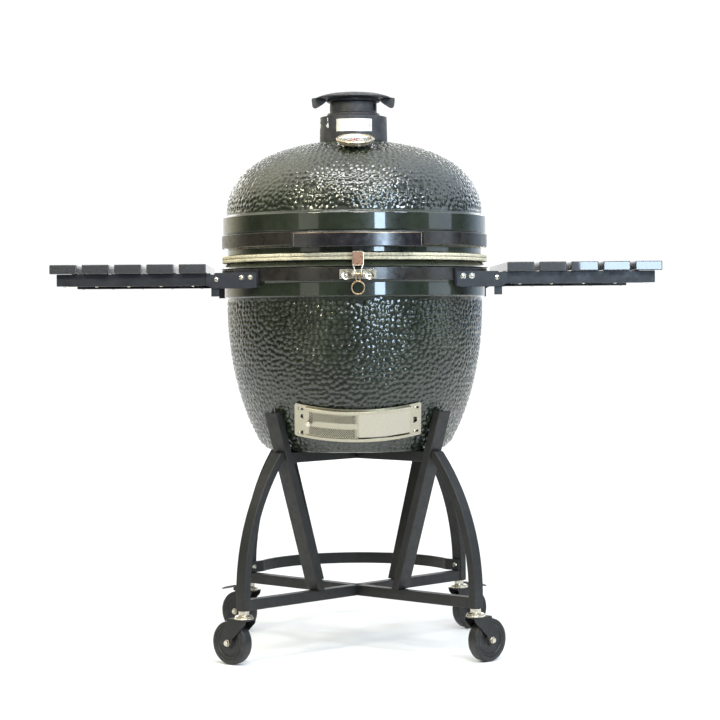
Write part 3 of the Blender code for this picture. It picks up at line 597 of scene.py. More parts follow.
def iron_look():
    look = Look("cast_iron", (0.030, 0.031, 0.034), 0.5, 0.25)
    stops = [(0.3, (0.018, 0.018, 0.020)), (0.5, (0.031, 0.031, 0.034)), (0.72, (0.050, 0.049, 0.050))]
    look.colour(look.colours(look.noise(40.0, 6.0), stops))
    look.roughness(look.ramp(look.noise(120.0, 5.0), 0.3, 0.7, 0.40, 0.62))
    look.bump(look.noise(420.0, 4.0, rough=0.7), 0.0006, 0.6)
    return look.material


def brushed_look(name, colour, roughness, stretch):
    """Brushed sheet metal, its grain running where the stretch is smallest."""
    look = Look(name, colour, roughness, 1.0)
    grain = look.noise(1100.0, 3.0, stretch, 0.6)
    deep = tuple(value * 0.90 for value in colour)
    pale = tuple(min(1.0, value * 1.06) for value in colour)
    look.colour(look.colours(grain, [(0.3, deep), (0.5, colour), (0.7, pale)]))
    look.roughness(look.ramp(grain, 0.3, 0.7, roughness - 0.06, roughness + 0.12))
    look.bump(grain, 0.00004, 0.35)
    look.bump(look.noise(9.0, 2.0), 0.0010, 0.30)
    return look.material


def plated_look(name, colour, roughness):
    """Bright plating with faint handling marks."""
    look = Look(name, colour, roughness, 1.0)
    marks = look.noise(180.0, 6.0, rough=0.7)
    look.roughness(look.ramp(marks, 0.35, 0.7, roughness - 0.05, roughness + 0.14))
    look.colour(look.colours(look.noise(55.0, 5.0), [(0.3, tuple(v * 0.86 for v in colour)), (0.6, colour)]))
    look.bump(marks, 0.0001, 0.35)
    return look.material


def gasket_look():
    """Cream fibre with bright wire showing through."""
    look = Look("mesh_gasket", (0.62, 0.57, 0.44), 0.85)
    fibre = look.colours(look.noise(220.0, 5.0), [(0.3, (0.40, 0.35, 0.24)), (0.5, (0.74, 0.67, 0.47)),
                                                  (0.7, (0.88, 0.83, 0.64))])
    wire = look.ramp(look.cells(420.0), 0.28, 0.40, 0.0, 0.4)
    look.colour(look.mix(wire, fibre, (0.42, 0.40, 0.32)))
    look.links.new(look.ramp(wire, 0.0, 0.8, 0.0, 0.75), look.shader.inputs["Metallic"])
    look.roughness(look.ramp(wire, 0.0, 0.8, 0.9, 0.45))
    look.bump(look.cells(420.0), 0.0008, 0.8)
    look.bump(look.noise(700.0, 3.0), 0.0005, 0.6)
    return look.material


def board_look():
    """Dark composite board with a brushed grain along Y."""
    look = Look("dark_composite", (0.024, 0.025, 0.028), 0.55, coat=1.0, coat_roughness=0.03)
    grain = look.noise(330.0, 5.0, (1.0, 0.05, 1.0), 0.7)
    broad = look.noise(38.0, 4.0, (1.0, 0.12, 1.0))
    tone = look.colours(grain, [(0.3, (0.007, 0.007, 0.009)), (0.5, (0.015, 0.016, 0.019)),
                                (0.72, (0.034, 0.035, 0.039))])
    look.colour(look.mix(look.ramp(broad, 0.35, 0.65, 0.0, 0.45), tone, (0.024, 0.024, 0.026)))
    look.roughness(look.ramp(grain, 0.3, 0.7, 0.42, 0.66))
    look.bump(grain, 0.0003, 0.35)
    return look.material


def rubber_look():
    look = Look("wheel_plastic", (0.035, 0.036, 0.038), 0.45)
    stops = [(0.3, (0.005, 0.005, 0.005)), (0.5, (0.009, 0.0085, 0.008)), (0.72, (0.018, 0.017, 0.015))]
    look.colour(look.colours(look.noise(60.0, 5.0), stops))
    look.roughness(look.ramp(look.noise(90.0, 4.0), 0.3, 0.7, 0.36, 0.56))
    look.bump(look.noise(600.0, 3.0), 0.0002, 0.4)
    return look.material


def floor_look():
    """Pale studio floor, coloured dark in front of the grill, outside the picture, as painted shade of a dim
    room on that side.
    """
    look = Look("pale_floor", (0.80, 0.80, 0.80), 0.85)
    pale = look.colours(look.noise(1.2, 3.0), [(0.3, (0.79, 0.79, 0.79)), (0.7, (0.81, 0.81, 0.81))])
    split = look.nodes.new("ShaderNodeSeparateXYZ")
    look.links.new(look.place, split.inputs["Vector"])
    # Painted shade: the floor in front of the grill is coloured dark so the bowl reflects a dim room there.
    far = look.ramp(split.outputs["Y"], FLOOR_SHADE_Y, FLOOR_PALE_Y, 0.0, 1.0)
    look.colour(look.mix(far, (0.16, 0.16, 0.16), pale))
    look.roughness(look.ramp(look.noise(30.0, 3.0), 0.3, 0.7, 0.82, 0.88))
    look.bump(look.noise(300.0, 2.0), 0.0001, 0.1)
    return look.material


def glass_look():
    look = Look("clear_glass", (1.0, 1.0, 1.0), 0.03)
    look.set("Transmission Weight", 1.0)
    look.set("IOR", 1.45)
    return look.material


GLAZE = glaze_look()
CLAY = clay_look()
POWDER = coat_look("black_powder_coat", (0.0060, 0.0058, 0.0054), 0.52, worn=0.10)
BAND = coat_look("band_enamel", (0.014, 0.0120, 0.0095), 0.30, grain=300.0, depth=0.00006, coat=0.2)
NAVY = coat_look("shelf_enamel", (0.0052, 0.0062, 0.0100), 0.48, worn=0.08)
IRON = iron_look()
STEEL = brushed_look("stainless_steel", (0.37, 0.345, 0.27), 0.28, (1.0, 1.0, 0.04))
PANEL = brushed_look("polished_steel", (0.38, 0.355, 0.295), 0.20, (1.0, 1.0, 0.03))
PLATED = plated_look("zinc_plate", (0.60, 0.56, 0.47), 0.24)
GILT = plated_look("warm_steel", (0.58, 0.50, 0.37), 0.27)
SATIN = plated_look("satin_plate", (0.86, 0.86, 0.84), 0.42)
COPPER = plated_look("coppered_steel", (0.50, 0.27, 0.17), 0.30)
BRONZE = plated_look("bronze_trim", (0.36, 0.25, 0.15), 0.32)
GASKET = gasket_look()
BOARD = board_look()
RUBBER = rubber_look()
GLOSS = coat_look("black_handle", (0.012, 0.011, 0.013), 0.20, grain=200.0, depth=0.00005, coat=0.15)
PEDAL = coat_look("pedal_plastic", (0.085, 0.085, 0.092), 0.50)
ENAMEL = coat_look("dial_white", (0.78, 0.77, 0.72), 0.35, depth=0.00004)
INK = coat_look("ink_black", (0.015, 0.015, 0.016), 0.5, depth=0.00004)
CHALK = coat_look("number_white", (0.72, 0.72, 0.68), 0.55, depth=0.00006)
RED = coat_look("needle_red", (0.50, 0.03, 0.02), 0.40, depth=0.00004)
GLASS = glass_look()


# ---------------------------------------------------------------- ceramic body

def bowl_radius(z):
    rise = (z - BOWL_CENTRE_Z) / BOWL_DEPTH
    return BODY_RADIUS * math.sqrt(1.0 - rise * rise)


def dome_point(share):
    """Outer (radius, z) of the dome, from its springing at 0 to its crown at 1."""
    angle = share * math.pi / 2
    radius = BODY_RADIUS * math.cos(angle) ** (2 / DOME_POWER)
    return radius, DOME_CENTRE_Z + DOME_HEIGHT * math.sin(angle) ** (2 / DOME_POWER)


def resampled(points, spacing):
    """The same open curve with points at an even spacing."""
    curve = np.array(points, float)
    steps = np.hypot(*np.diff(curve, axis=0).T)
    run = np.concatenate([[0.0], np.cumsum(steps)])
    places = np.linspace(0.0, run[-1], max(2, int(run[-1] / spacing) + 1))
    return np.stack([np.interp(places, run, curve[:, 0]), np.interp(places, run, curve[:, 1])], axis=1)


def smooth_step(value):
    value = np.clip(value, 0.0, 1.0)
    return value * value * (3.0 - 2.0 * value)


def pebble_field(curve, angles, seed):
    """Height from 0 to 1 of a jittered packing of round pebbles over a turned surface."""
    steps = np.hypot(*np.diff(curve, axis=0).T)
    run = np.concatenate([[0.0], np.cumsum(steps)])
    rows = int(run[-1] / PEBBLE_PITCH) + 3
    chance = np.random.default_rng(seed)
    nearest = np.full((len(curve), len(angles)), 9.0)
    second = np.full_like(nearest, 9.0)
    row_of = (run / PEBBLE_PITCH).astype(int)
    for row in range(-1, rows):
        middle = (row + 0.5) * PEBBLE_PITCH
        radius = float(np.interp(middle, run, curve[:, 0]))
        count = max(12, int(round(2 * math.pi * radius / (PEBBLE_PITCH * PEBBLE_STRETCH))))
        phase = chance.random()
        shift_round = chance.uniform(-PEBBLE_JITTER, PEBBLE_JITTER, count)
        turn = (np.arange(count) + phase + shift_round) * (2 * math.pi / count)
        rise = middle + chance.uniform(-PEBBLE_JITTER, PEBBLE_JITTER, count) * PEBBLE_PITCH
        near = np.nonzero(np.abs(row_of - row) <= 2)[0]
        slot = np.floor(angles / (2 * math.pi) * count - phase).astype(int)
        for shift in (-1, 0, 1, 2):
            index = (slot + shift) % count
            across_turn = angles - turn[index]
            across_turn = (across_turn + math.pi) % (2 * math.pi) - math.pi
            aside = across_turn[None, :] * curve[near, 0][:, None]
            climb = run[near][:, None] - rise[index][None, :]
            distance = np.hypot(aside * 0.92, climb)
            old = nearest[near]
            second[near] = np.minimum(second[near], np.maximum(old, distance))
            nearest[near] = np.minimum(old, distance)
    share = nearest / (nearest + second + 1e-9)
    crown = 1.0 - (2.0 * share) ** PEBBLE_ROUND
    return crown, run


def ceramic_mesh(lead, textured, rest, seed):
    """A closed turned shell. Only the middle stretch of its outline carries pebbles."""
    angles = np.linspace(0.0, 2 * math.pi, ROUND_STEPS, endpoint=False)
    curve = resampled(textured, PEBBLE_ROW)
    height, run = pebble_field(curve, angles, seed)
    fade = smooth_step(run / PEBBLE_FADE) * smooth_step((run[-1] - run) / PEBBLE_FADE)
    height = height * fade[:, None]
    tangent = np.gradient(curve, axis=0)
    tangent /= np.hypot(tangent[:, 0], tangent[:, 1])[:, None]
    normal = np.stack([tangent[:, 1], -tangent[:, 0]], axis=1)
    sink = (height - 0.75 * fade[:, None]) * PEBBLE_RELIEF
    radius = curve[:, 0][:, None] + normal[:, 0][:, None] * sink
    level = curve[:, 1][:, None] + normal[:, 1][:, None] * sink
    before, after = np.array(lead, float), np.array(rest, float)
    wide = (1, ROUND_STEPS)
    radius = np.vstack([np.tile(before[:, :1], wide), radius, np.tile(after[:, :1], wide)])
    level = np.vstack([np.tile(before[:, 1:], wide), level, np.tile(after[:, 1:], wide)])
    relief = np.vstack([np.full((len(lead), ROUND_STEPS), PLAIN_RELIEF),
                        height * fade[:, None] + PLAIN_RELIEF * (1 - fade[:, None]),
                        np.full((len(rest), ROUND_STEPS), PLAIN_RELIEF)])
    points = np.stack([radius * np.cos(angles), radius * np.sin(angles), level], axis=-1)
    mesh = grid_mesh(points, loop_rows=True)
    # The relief layer runs from 0 in the gaps to 1 on the crowns; the glaze uses it to paint shade into the
    # gaps.
    layer = mesh.attributes.new("relief", "FLOAT", "POINT")
    layer.data.foreach_set("value", relief.reshape(-1).astype(np.float32))
    return mesh


def make_dome():
    rim, rim_low, rim_high = LID_RIM
    lead = rounded([(MOUTH_RADIUS, LID_BOTTOM_Z), (LIP_INNER, LID_BOTTOM_Z), (LIP_INNER, 0.9535),
                    (BAND_SEAT, 0.9563), (BAND_SEAT, LID_BAND_Z[1] + 0.001), (rim, rim_low),
                    (rim, rim_high - 0.001), (BODY_RADIUS + 0.0004, rim_high + 0.0025)], 0.0030, 4, False)
    textured = [point for point in map(dome_point, spread(0.0, 1.0, 160)) if point[0] > 0.0865]
    neck_z = COLLAR_BOTTOM_Z - 0.0003
    rest = [(0.0845, neck_z), (CHIMNEY_NECK, neck_z), (CHIMNEY_NECK, CHIMNEY_TOP_Z)]
    rest += [(CHIMNEY_HOLE, CHIMNEY_TOP_Z), (CHIMNEY_HOLE, 1.181)]
    rest += [(radius - 0.024, z - 0.028) for radius, z in map(dome_point, spread(0.66, 0.0, 14))]
    rest += [(MOUTH_RADIUS, 0.960)]
    put("dome", ceramic_mesh(lead, textured, rest, 11), GLAZE, "lid", "dome_shell", 50.0)


def door_place():
    """Placement of the draft door: Z runs up the bowl's slope, -Y points out of the bowl."""
    inward = Vector((0.0, math.cos(DOOR_TILT), math.sin(DOOR_TILT)))
    return axes((0.0, 0.0, DOOR_CENTRE_Z), (1, 0, 0), inward)


def seat_door_frame(shell):
    """Press the pebbles back where the draft door's frame lies against the bowl."""
    place = door_place()
    inverse = place.inverted()
    for point in shell.vertices:
        local = inverse @ point.co
        reach = math.hypot(local.x, local.y)
        beside = abs(local.x) < reach * math.sin(SEAT_TURN)
        if beside and local.y < 0.0 and reach > SEAT_NEAREST and abs(local.z) < SEAT_HALF_HEIGHT:
            share = min(1.0, (FRAME_BACK - 0.0006) / reach)
            point.co = place @ Vector((local.x * share, local.y * share, local.z))


def make_bowl():
    rim, rim_low, rim_high = BASE_RIM
    lead = [(0.002, INNER_FLOOR_Z), (0.002, BOWL_BOTTOM_Z), (0.2090, BOWL_BOTTOM_Z)]
    textured = [(0.2130, BOWL_BOTTOM_Z + 0.0008), (0.2175, BOWL_BOTTOM_Z + 0.0035),
                (0.2205, BOWL_BOTTOM_Z + 0.0085)]
    textured += [(bowl_radius(z), z) for z in spread(BOWL_BOTTOM_Z + 0.016, rim_low - 0.001, 160)]
    rest = rounded([(BODY_RADIUS, rim_low), (rim, rim_low + 0.002), (rim, rim_high),
                    (BAND_SEAT, BASE_BAND_Z[0] - 0.001), (BAND_SEAT, BASE_BAND_Z[1] + 0.0003),
                    (LIP_OUTER, BASE_BAND_Z[1] + 0.002), (LIP_INNER + 0.003, BASE_TOP_Z - 0.003),
                    (LIP_INNER, BASE_TOP_Z), (MOUTH_RADIUS, BASE_TOP_Z)], 0.0025, 3, False)
    rest += [(bowl_radius(z) - WALL, z) for z in spread(BOWL_CENTRE_Z, 0.535, 14)]
    rest += [(0.190, INNER_FLOOR_Z)]
    shell = ceramic_mesh(lead, textured, rest, 23)
    seat_door_frame(shell)
    port = block((PORT_LOW[0], -0.33, PORT_LOW[1]), (PORT_HIGH[0], -0.19, PORT_HIGH[1]), 0.0,
                 place=door_place())
    shell = carve(shell, [port])
    put("bowl", shell, GLAZE, ROOT, "base_shell", 50.0)


def ring_outline(inner, outer, low, high, soft):
    return rounded([(inner, low), (outer, low), (outer, high), (inner, high)], soft, 4)


def make_bands():
    for name, levels, body in (("base_band", BASE_BAND_Z, ROOT), ("lid_band", LID_BAND_Z, "lid")):
        outline = ring_outline(BAND_INNER, BAND_OUTER, *levels, 0.0015)
        put(name + "_strap", lathe(outline, 240), BAND, body, name)


def make_gasket(name, node, body, low, high):
    """A braided tube laid round the rim: its surface swells at every crossing of the strands."""
    inner, outer = 0.280, 0.3168
    section = 28
    count = 1500
    middle = ((inner + outer) / 2, (low + high) / 2)
    half = ((outer - inner) / 2, (high - low) / 2)
    around = np.linspace(0.0, 2 * math.pi, section, endpoint=False)
    angles = np.linspace(0.0, 2 * math.pi, count, endpoint=False)
    shape_x = np.sign(np.cos(around)) * np.abs(np.cos(around)) ** 0.22
    shape_z = np.sign(np.sin(around)) * np.abs(np.sin(around)) ** 0.24
    strand = np.sin(angles[None, :] * 300 + around[:, None] * 4)
    other = np.sin(angles[None, :] * 300 - around[:, None] * 4)
    swell = 0.00055 * (strand * other) + 0.0003 * np.sin(angles[None, :] * 37 + around[:, None])
    radius = middle[0] + shape_x[:, None] * (half[0] + swell - 0.0006)
    level = middle[1] + shape_z[:, None] * (half[1] + np.minimum(swell, 0.0) - 0.0001)
    points = np.stack([radius * np.cos(angles), radius * np.sin(angles), level], axis=-1)
    mesh = grid_mesh(points, loop_rows=True)
    bm = bmesh.new()
    bm.from_mesh(mesh)
    put(name, as_mesh(bm), GASKET, body, node, 60.0)


def make_gaskets():
    middle = (BASE_TOP_Z + LID_BOTTOM_Z) / 2
    make_gasket("base_seal", "base_gasket", ROOT, BASE_TOP_Z + 0.0003, middle - 0.00015)
    make_gasket("lid_seal", "dome_gasket", "lid", middle + 0.00015, LID_BOTTOM_Z - 0.0003)


# ---------------------------------------------------------------- fire parts

def make_fire_parts():
    outer = [(bowl_radius(z) - WALL - 0.010, z) for z in spread(0.540, 0.699, 12)]
    box = [(0.180, INNER_FLOOR_Z + 0.0004)] + outer + [(0.2358, 0.6995), (0.205, 0.620), (0.152, 0.598)]
    box += [(0.150, 0.5862), (0.128, 0.5862), (0.120, INNER_FLOOR_Z + 0.0004)]
    notch = block((-0.050, -0.30, 0.45), (0.050, -0.05, 0.562))
    joints = [moved(block((-0.0012, 0.150, 0.600), (0.0012, 0.300, 0.71)),
                    Matrix.Rotation(math.radians(60 * turn + 30), 4, "Z")) for turn in range(6)]
    put("fire_box", carve(lathe(rounded(box, 0.003), 120), [notch] + joints), CLAY, ROOT,
        "firebox")
    ring = rounded([(0.234, 0.7006), (0.2578, 0.7006), (0.2578, 0.8347), (0.234, 0.8347)], 0.003)
    seams = [moved(block((-0.0012, 0.200, 0.69), (0.0012, 0.300, 0.85)),
                   Matrix.Rotation(math.radians(120 * turn), 4, "Z")) for turn in range(3)]
    put("clay_ring", carve(lathe(ring, 120), seams), CLAY, ROOT, "fire_ring")
    make_charcoal_grate()
    make_cooking_grate()


def make_charcoal_grate():
    low, high = 0.5866, 0.5940
    plate = lathe(rounded([(0.0, low), (0.1475, low), (0.1475, high), (0.0, high)], 0.0015, 3, False), 96)
    slots = []
    for number in range(-4, 5):
        middle = number * 0.028
        half = math.sqrt(0.130 ** 2 - middle ** 2)
        slots.append(block((middle - 0.006, -half, low - 0.01), (middle + 0.006, half, high + 0.01)))
    put("charcoal_plate", carve(plate, slots), IRON, ROOT, "charcoal_grate")


def make_cooking_grate():
    middle_z = 0.8393
    hoop = [(0.254 * math.cos(a), 0.254 * math.sin(a), middle_z) for a in spread(0, 2 * math.pi, 120)[:-1]]
    wires = [tube_along(hoop, 0.0038, 12, True)]
    for number in range(-6, 7):
        x = number * 0.036
        half = math.sqrt(0.254 ** 2 - x ** 2)
        wires.append(rod((x, -half, middle_z + 0.0008), (x, half, middle_z + 0.0008), 0.0030, 12))
    wires.append(rod((-0.2535, 0, middle_z - 0.0016), (0.2535, 0, middle_z - 0.0016), 0.0022, 12))
    put("cooking_wires", gather(*wires), STEEL, ROOT, "cooking_grate")


# ---------------------------------------------------------------- vent and thermometer

WINDOW_WIDTH = 0.018
WINDOW_COUNT = 5
WINDOW_PITCH = math.radians(42)
FIRST_WINDOW = math.radians(62)
WINDOW_Z = (1.284, 1.301)
COLLAR_RADIUS = 0.0810
MARK_FIRST = math.radians(-51)
MARK_STEP = math.radians(-28)


def window_cutters(low, high, first):
    """Bars that open the windows round the side and back of the chimney neck."""
    bar = block((-WINDOW_WIDTH / 2, -0.090, low), (WINDOW_WIDTH / 2, -0.030, high))
    return [moved(bar, Matrix.Rotation(first + number * WINDOW_PITCH, 4, "Z"))
            for number in range(WINDOW_COUNT)]


def facing(angle, radius, z):
    """Placement on a drum about Z: X runs round it, Y up, Z out. Angles run from -Y toward +X."""
    return Matrix.Rotation(angle, 4, "Z") @ axes((0, -radius, z), (1, 0, 0), (0, 0, 1))


def number_mesh(text, size, depth):
    """A raised number centred on its own origin."""
    curve = bpy.data.curves.new("number", "FONT")
    curve.body = text
    curve.size = size
    curve.extrude = depth
    curve.offset = size * 0.03
    curve.align_x = "CENTER"
    curve.align_y = "CENTER"
    holder = show("number", curve)
    mesh = evaluated(holder)
    bpy.data.objects.remove(holder, do_unlink=True)
    return mesh


def make_collar():
    outline = rounded([(COLLAR_RADIUS, COLLAR_BOTTOM_Z), (0.0797, 1.2700), (0.0640, 1.2728),
                       (0.0620, 1.2788), (0.0562, 1.2796), (0.0560, 1.3055), (0.0525, 1.3055),
                       (0.0525, 1.2660), (0.0672, 1.2480), (0.0672, COLLAR_BOTTOM_Z)], 0.0016, 4)
    collar = carve(lathe(outline, 160), window_cutters(*WINDOW_Z, FIRST_WINDOW))
    put("chimney_collar", collar, IRON, "lid", "vent_collar")
    plate = rounded([(0.0806, 1.2312), (0.0816, 1.2312), (0.0815, 1.2606), (0.0805, 1.2606)], 0.0003, 2)
    put("blank_plate", sweep_arc(plate, math.radians(-31), math.radians(31), 40), SATIN, "lid")
    rivets = [moved(button_bolt(0.0016, 0.0009, False), facing(math.radians(side * 26), 0.0815, 1.2455))
              for _, side in SIDES]
    put("plate_rivets", gather(*rivets), BRONZE, "lid")
    marks = []
    for number in range(5):
        angle = MARK_FIRST + MARK_STEP * number
        marks.append(moved(block((-0.0008, -0.0042, -0.0006), (0.0008, 0.0042, 0.0005), 0.0002),
                           facing(angle, 0.0800, 1.2615)))
        marks.append(moved(number_mesh(str(4 - number), 0.0165, 0.0008), facing(angle, 0.0804, 1.2465)))
    put("collar_marks", gather(*marks), CHALK, "lid")


def make_cap():
    outline = [(0.0, 1.3300), (0.020, 1.3297), (0.035, 1.3287), (0.062, 1.3255), (0.081, 1.3205),
               (0.0895, 1.3170), (0.0900, 1.3150), (0.0885, 1.3138), (0.066, 1.3125), (0.063, 1.3115),
               (0.063, 1.3068), (0.062, 1.3062), (0.0516, 1.3062), (0.0516, 1.2830), (0.0490, 1.2830),
               (0.0490, 1.3110), (0.0, 1.3110)]
    body = carve(lathe(outline, 128), window_cutters(1.270, WINDOW_Z[1], FIRST_WINDOW - WINDOW_PITCH / 2))
    ear = rounded([(0.062, 1.3135), (0.069, 1.3050), (0.079, 1.2985), (0.088, 1.2930), (0.094, 1.2925),
                   (0.0980, 1.2965), (0.1000, 1.3160), (0.0860, 1.3180)], 0.0030, 3)
    fin = prism(ear, -0.0058, 0.0058, UPRIGHT, 0.0016, 3)
    put("cap", gather(body, fin, mirrored(fin, -1.0)), IRON, "vent_top", "vent_cap")


def dial_place():
    """Placement of the thermometer: Z square to the dome, X to the right."""
    up = Vector((0.0, -math.sin(DIAL_TILT), math.cos(DIAL_TILT)))
    return axes((0.0, -DIAL_DISTANCE, DIAL_SURFACE_Z), (1, 0, 0), up.cross(Vector((1, 0, 0))))


def make_thermometer():
    place = dial_place()
    case = [(0.0, -0.085), (0.0030, -0.085), (0.0042, -0.083), (0.0042, 0.0035), (0.012, 0.0042),
            (0.0370, 0.0046), (0.0388, 0.0055), (0.0392, 0.0090), (0.0405, 0.0100), (0.0430, 0.0103)]
    case += arc((0.0413, 0.0139), 0.0034, math.radians(-60), math.radians(160), 12)
    case += [(0.0374, 0.0140), (0.0372, 0.0122), (0.0, 0.0122)]
    put("thermometer_body", lathe(case, 120, place), GILT, "lid", "thermometer_case")
    face = [(0.0, 0.0123), (0.0370, 0.0123), (0.0370, 0.0126), (0.0020, 0.0126), (0.0, 0.0126)]
    put("dial_face", lathe(face, 96, place), ENAMEL, "lid")
    marks = []
    for tick in range(31):
        long = tick % 5 == 0
        turn = Matrix.Rotation(math.radians(135 - 9 * tick), 4, "Z")
        inner = 0.0295 if long else 0.0320
        width = 0.0005 if long else 0.00028
        marks.append(moved(block((-width, inner, 0.0125), (width, 0.0350, 0.01275)), place @ turn))
        if long:
            at = turn @ Vector((0.0, 0.0245, 0.0126))
            marks.append(moved(number_mesh(str(50 * tick // 5 + 50), 0.0068, 0.0001),
                               place @ Matrix.Translation(at)))
    put("dial_marks", gather(*marks), INK, "lid")
    lens = [(0.0, 0.0161), (0.020, 0.0158), (0.0376, 0.0150),
            (0.0376, 0.0154), (0.020, 0.0164), (0.0, 0.0167)]
    put("dial_glass", lathe(lens, 96, place), GLASS, "lid")
    hand = [(-0.0014, -0.009), (0.0014, -0.009), (0.0022, 0.0), (0.0006, 0.031), (-0.0006, 0.031),
            (-0.0022, 0.0)]
    turn = place @ Matrix.Rotation(math.radians(135), 4, "Z")
    hub = lathe([(0.0, 0.0128), (0.0042, 0.0128), (0.0042, 0.0142), (0.0036, 0.0146), (0.0, 0.0147)], 32)
    put("needle_hand", gather(moved(prism(hand, 0.0133, 0.0139), turn), moved(hub, turn)), RED, "needle",
        "thermometer_pointer")


# ---------------------------------------------------------------- rear hinge

def rear_arc(inner, outer, low, high, half_angle):
    """A curved foot against a band at the back of the body."""
    outline = rounded([(inner, low), (outer, low), (outer, high), (inner, high)], 0.0008, 2)
    return sweep_arc(outline, math.pi - half_angle, math.pi + half_angle, 40)


def rear_bolts(radius, z, angles):
    """Hexagon bolts through a foot at the back of the body."""
    return [moved(hex_bolt(0.013, 0.005, 0.0105), facing(math.pi + math.radians(angle), radius, z))
            for angle in angles]


COIL_LENGTH = 0.040


def coil(start_x, side, turns, radius, wire):
    """A spring wound round the hinge pin."""
    points = []
    steps = turns * 16
    for step in range(steps + 1):
        angle = 2 * math.pi * turns * step / steps
        points.append((side * (start_x + COIL_LENGTH * step / steps), PIN_Y + radius * math.cos(angle),
                       PIN_Z + radius * math.sin(angle)))
    return tube_along(points, wire, 8)


def make_hinge():
    pin_hole = rod((-0.08, PIN_Y, PIN_Z), (0.08, PIN_Y, PIN_Z), 0.0057, 32)
    cheek = [(0.3170, 0.8670), (0.3520, 0.8670), (0.3880, 0.9360)]
    cheek += arc((PIN_Y, PIN_Z), 0.0160, math.radians(-15), math.radians(160), 18) + [(0.3170, 0.9040)]
    cheeks = [prism(cheek, -0.002, 0.002, across(side * 0.055), 0.0006) for _, side in SIDES]
    foot = rear_arc(0.3178, 0.3222, 0.866, 0.9048, math.radians(21))
    put("hinge_bottom", gather(foot, *[carve(plate, [pin_hole]) for plate in cheeks]), IRON, ROOT,
        "hinge_base")
    put("hinge_bottom_bolts", gather(*rear_bolts(0.3221, 0.8855, (-16, -4.5, 4.5, 16))), PLATED, ROOT)
    arm = [(0.3150, 0.9590), (0.3500, 0.9350)]
    arm += arc((PIN_Y, PIN_Z), 0.0140, math.radians(-125), math.radians(80), 18)
    arm += [(0.3400, 0.9850), (0.3150, 0.9850)]
    arms = [prism(arm, -0.002, 0.002, across(side * 0.0495), 0.0006) for _, side in SIDES]
    foot = rear_arc(0.3176, 0.3216, 0.958, 0.986, math.radians(19))
    put("hinge_top", gather(foot, *[carve(plate, [pin_hole]) for plate in arms]), IRON, "lid",
        "hinge_lid")
    put("hinge_top_bolts", gather(*rear_bolts(0.3215, 0.972, (-15, -4, 4, 15))), PLATED, "lid")
    shaft = rod((-0.0575, PIN_Y, PIN_Z), (0.0575, PIN_Y, PIN_Z), 0.005, 32)
    heads = [moved(hex_bolt(0.0150, 0.0058), axes((side * 0.0578, PIN_Y, PIN_Z), (0, 0, -side), (0, 1, 0)))
             for _, side in SIDES]
    put("hinge_bolt", gather(shaft, *heads), PLATED, ROOT, "hinge_pin")
    for name, side in SIDES:
        put("spring_" + name, coil(0.0055, side, 9, 0.0094, 0.0017), PLATED, ROOT,
            "hinge_spring_" + name)


# ---------------------------------------------------------------- handle and latch

HANDLE_HALF = 0.1485
HANDLE_INNER = 0.3425
HANDLE_OUTER = 0.3578
HANDLE_Z = (0.9505, 0.9835)
POST_RADIUS = 0.0075
COLLAR_PLATE_RADIUS = 0.0105
TRIM_INSET = 0.0055
TRIM_HALF = 0.0008


def make_handle():
    """A bar that runs round with the band, on two posts, with a fine bronze edge on its face."""
    inner, outer = HANDLE_INNER, HANDLE_OUTER
    low, high = HANDLE_Z
    reach = math.asin(HANDLE_HALF / outer)
    section = rounded([(inner, low), (outer, low), (outer, high), (inner, high)], 0.0022, 4)
    bar = sweep_arc(section, -reach, reach, 64)
    middle = (low + high) / 2 + 0.003
    band_y = -math.sqrt(BAND_OUTER ** 2 - POST_X ** 2)
    back = -math.sqrt(inner ** 2 - POST_X ** 2)
    posts = []
    for _, side in SIDES:
        x = side * POST_X
        posts.append(rod((x, back - 0.002, middle), (x, band_y - 0.0022, middle), POST_RADIUS, 32))
        posts.append(rod((x, band_y - 0.0070, middle), (x, band_y - 0.0018, middle), COLLAR_PLATE_RADIUS, 32,
                         0.001))
    put("handle_bar", gather(bar, *posts), GLOSS, "lid", "lid_handle")
    inset = reach - TRIM_INSET / outer
    top_line = [(outer - 0.0008, high - 0.0032), (outer + 0.0006, high - 0.0032),
                (outer + 0.0006, high - 0.0018), (outer - 0.0008, high - 0.0018)]
    trim = [sweep_arc(top_line, -inset, inset, 48)]
    for _, side in SIDES:
        turn = Matrix.Rotation(side * inset, 4, "Z")
        trim.append(block((-TRIM_HALF, -outer - 0.0006, low + 0.0020),
                          (TRIM_HALF, -outer + 0.0008, high - 0.0018), 0.0003, place=turn))
    put("handle_trim", gather(*trim), BRONZE, "lid")
    hook = rounded([(-0.3175, 0.9610), (-0.3175, 0.9750), (-0.3205, 0.9750), (-0.3205, 0.9640),
                    (-0.3310, 0.9640), (-0.3310, 0.9440), (-0.3280, 0.9440), (-0.3280, 0.9610)], 0.0008)
    put("keeper_hook", prism(hook, -0.012, 0.012, across(0.0), 0.0004), IRON, "lid",
        "lid_keeper")


PULL_RADIUS = 0.0144


def eyelet(x, width):
    """A small tube around the latch pin."""
    lengthwise = axes((x, LATCH_Y, LATCH_Z), (0, 0, -1), (0, 1, 0))
    half = width / 2
    return lathe([(0.0030, -half), (0.0047, -half), (0.0050, -half + 0.0003), (0.0050, half - 0.0003),
                  (0.0047, half), (0.0030, half)], 24, lengthwise)


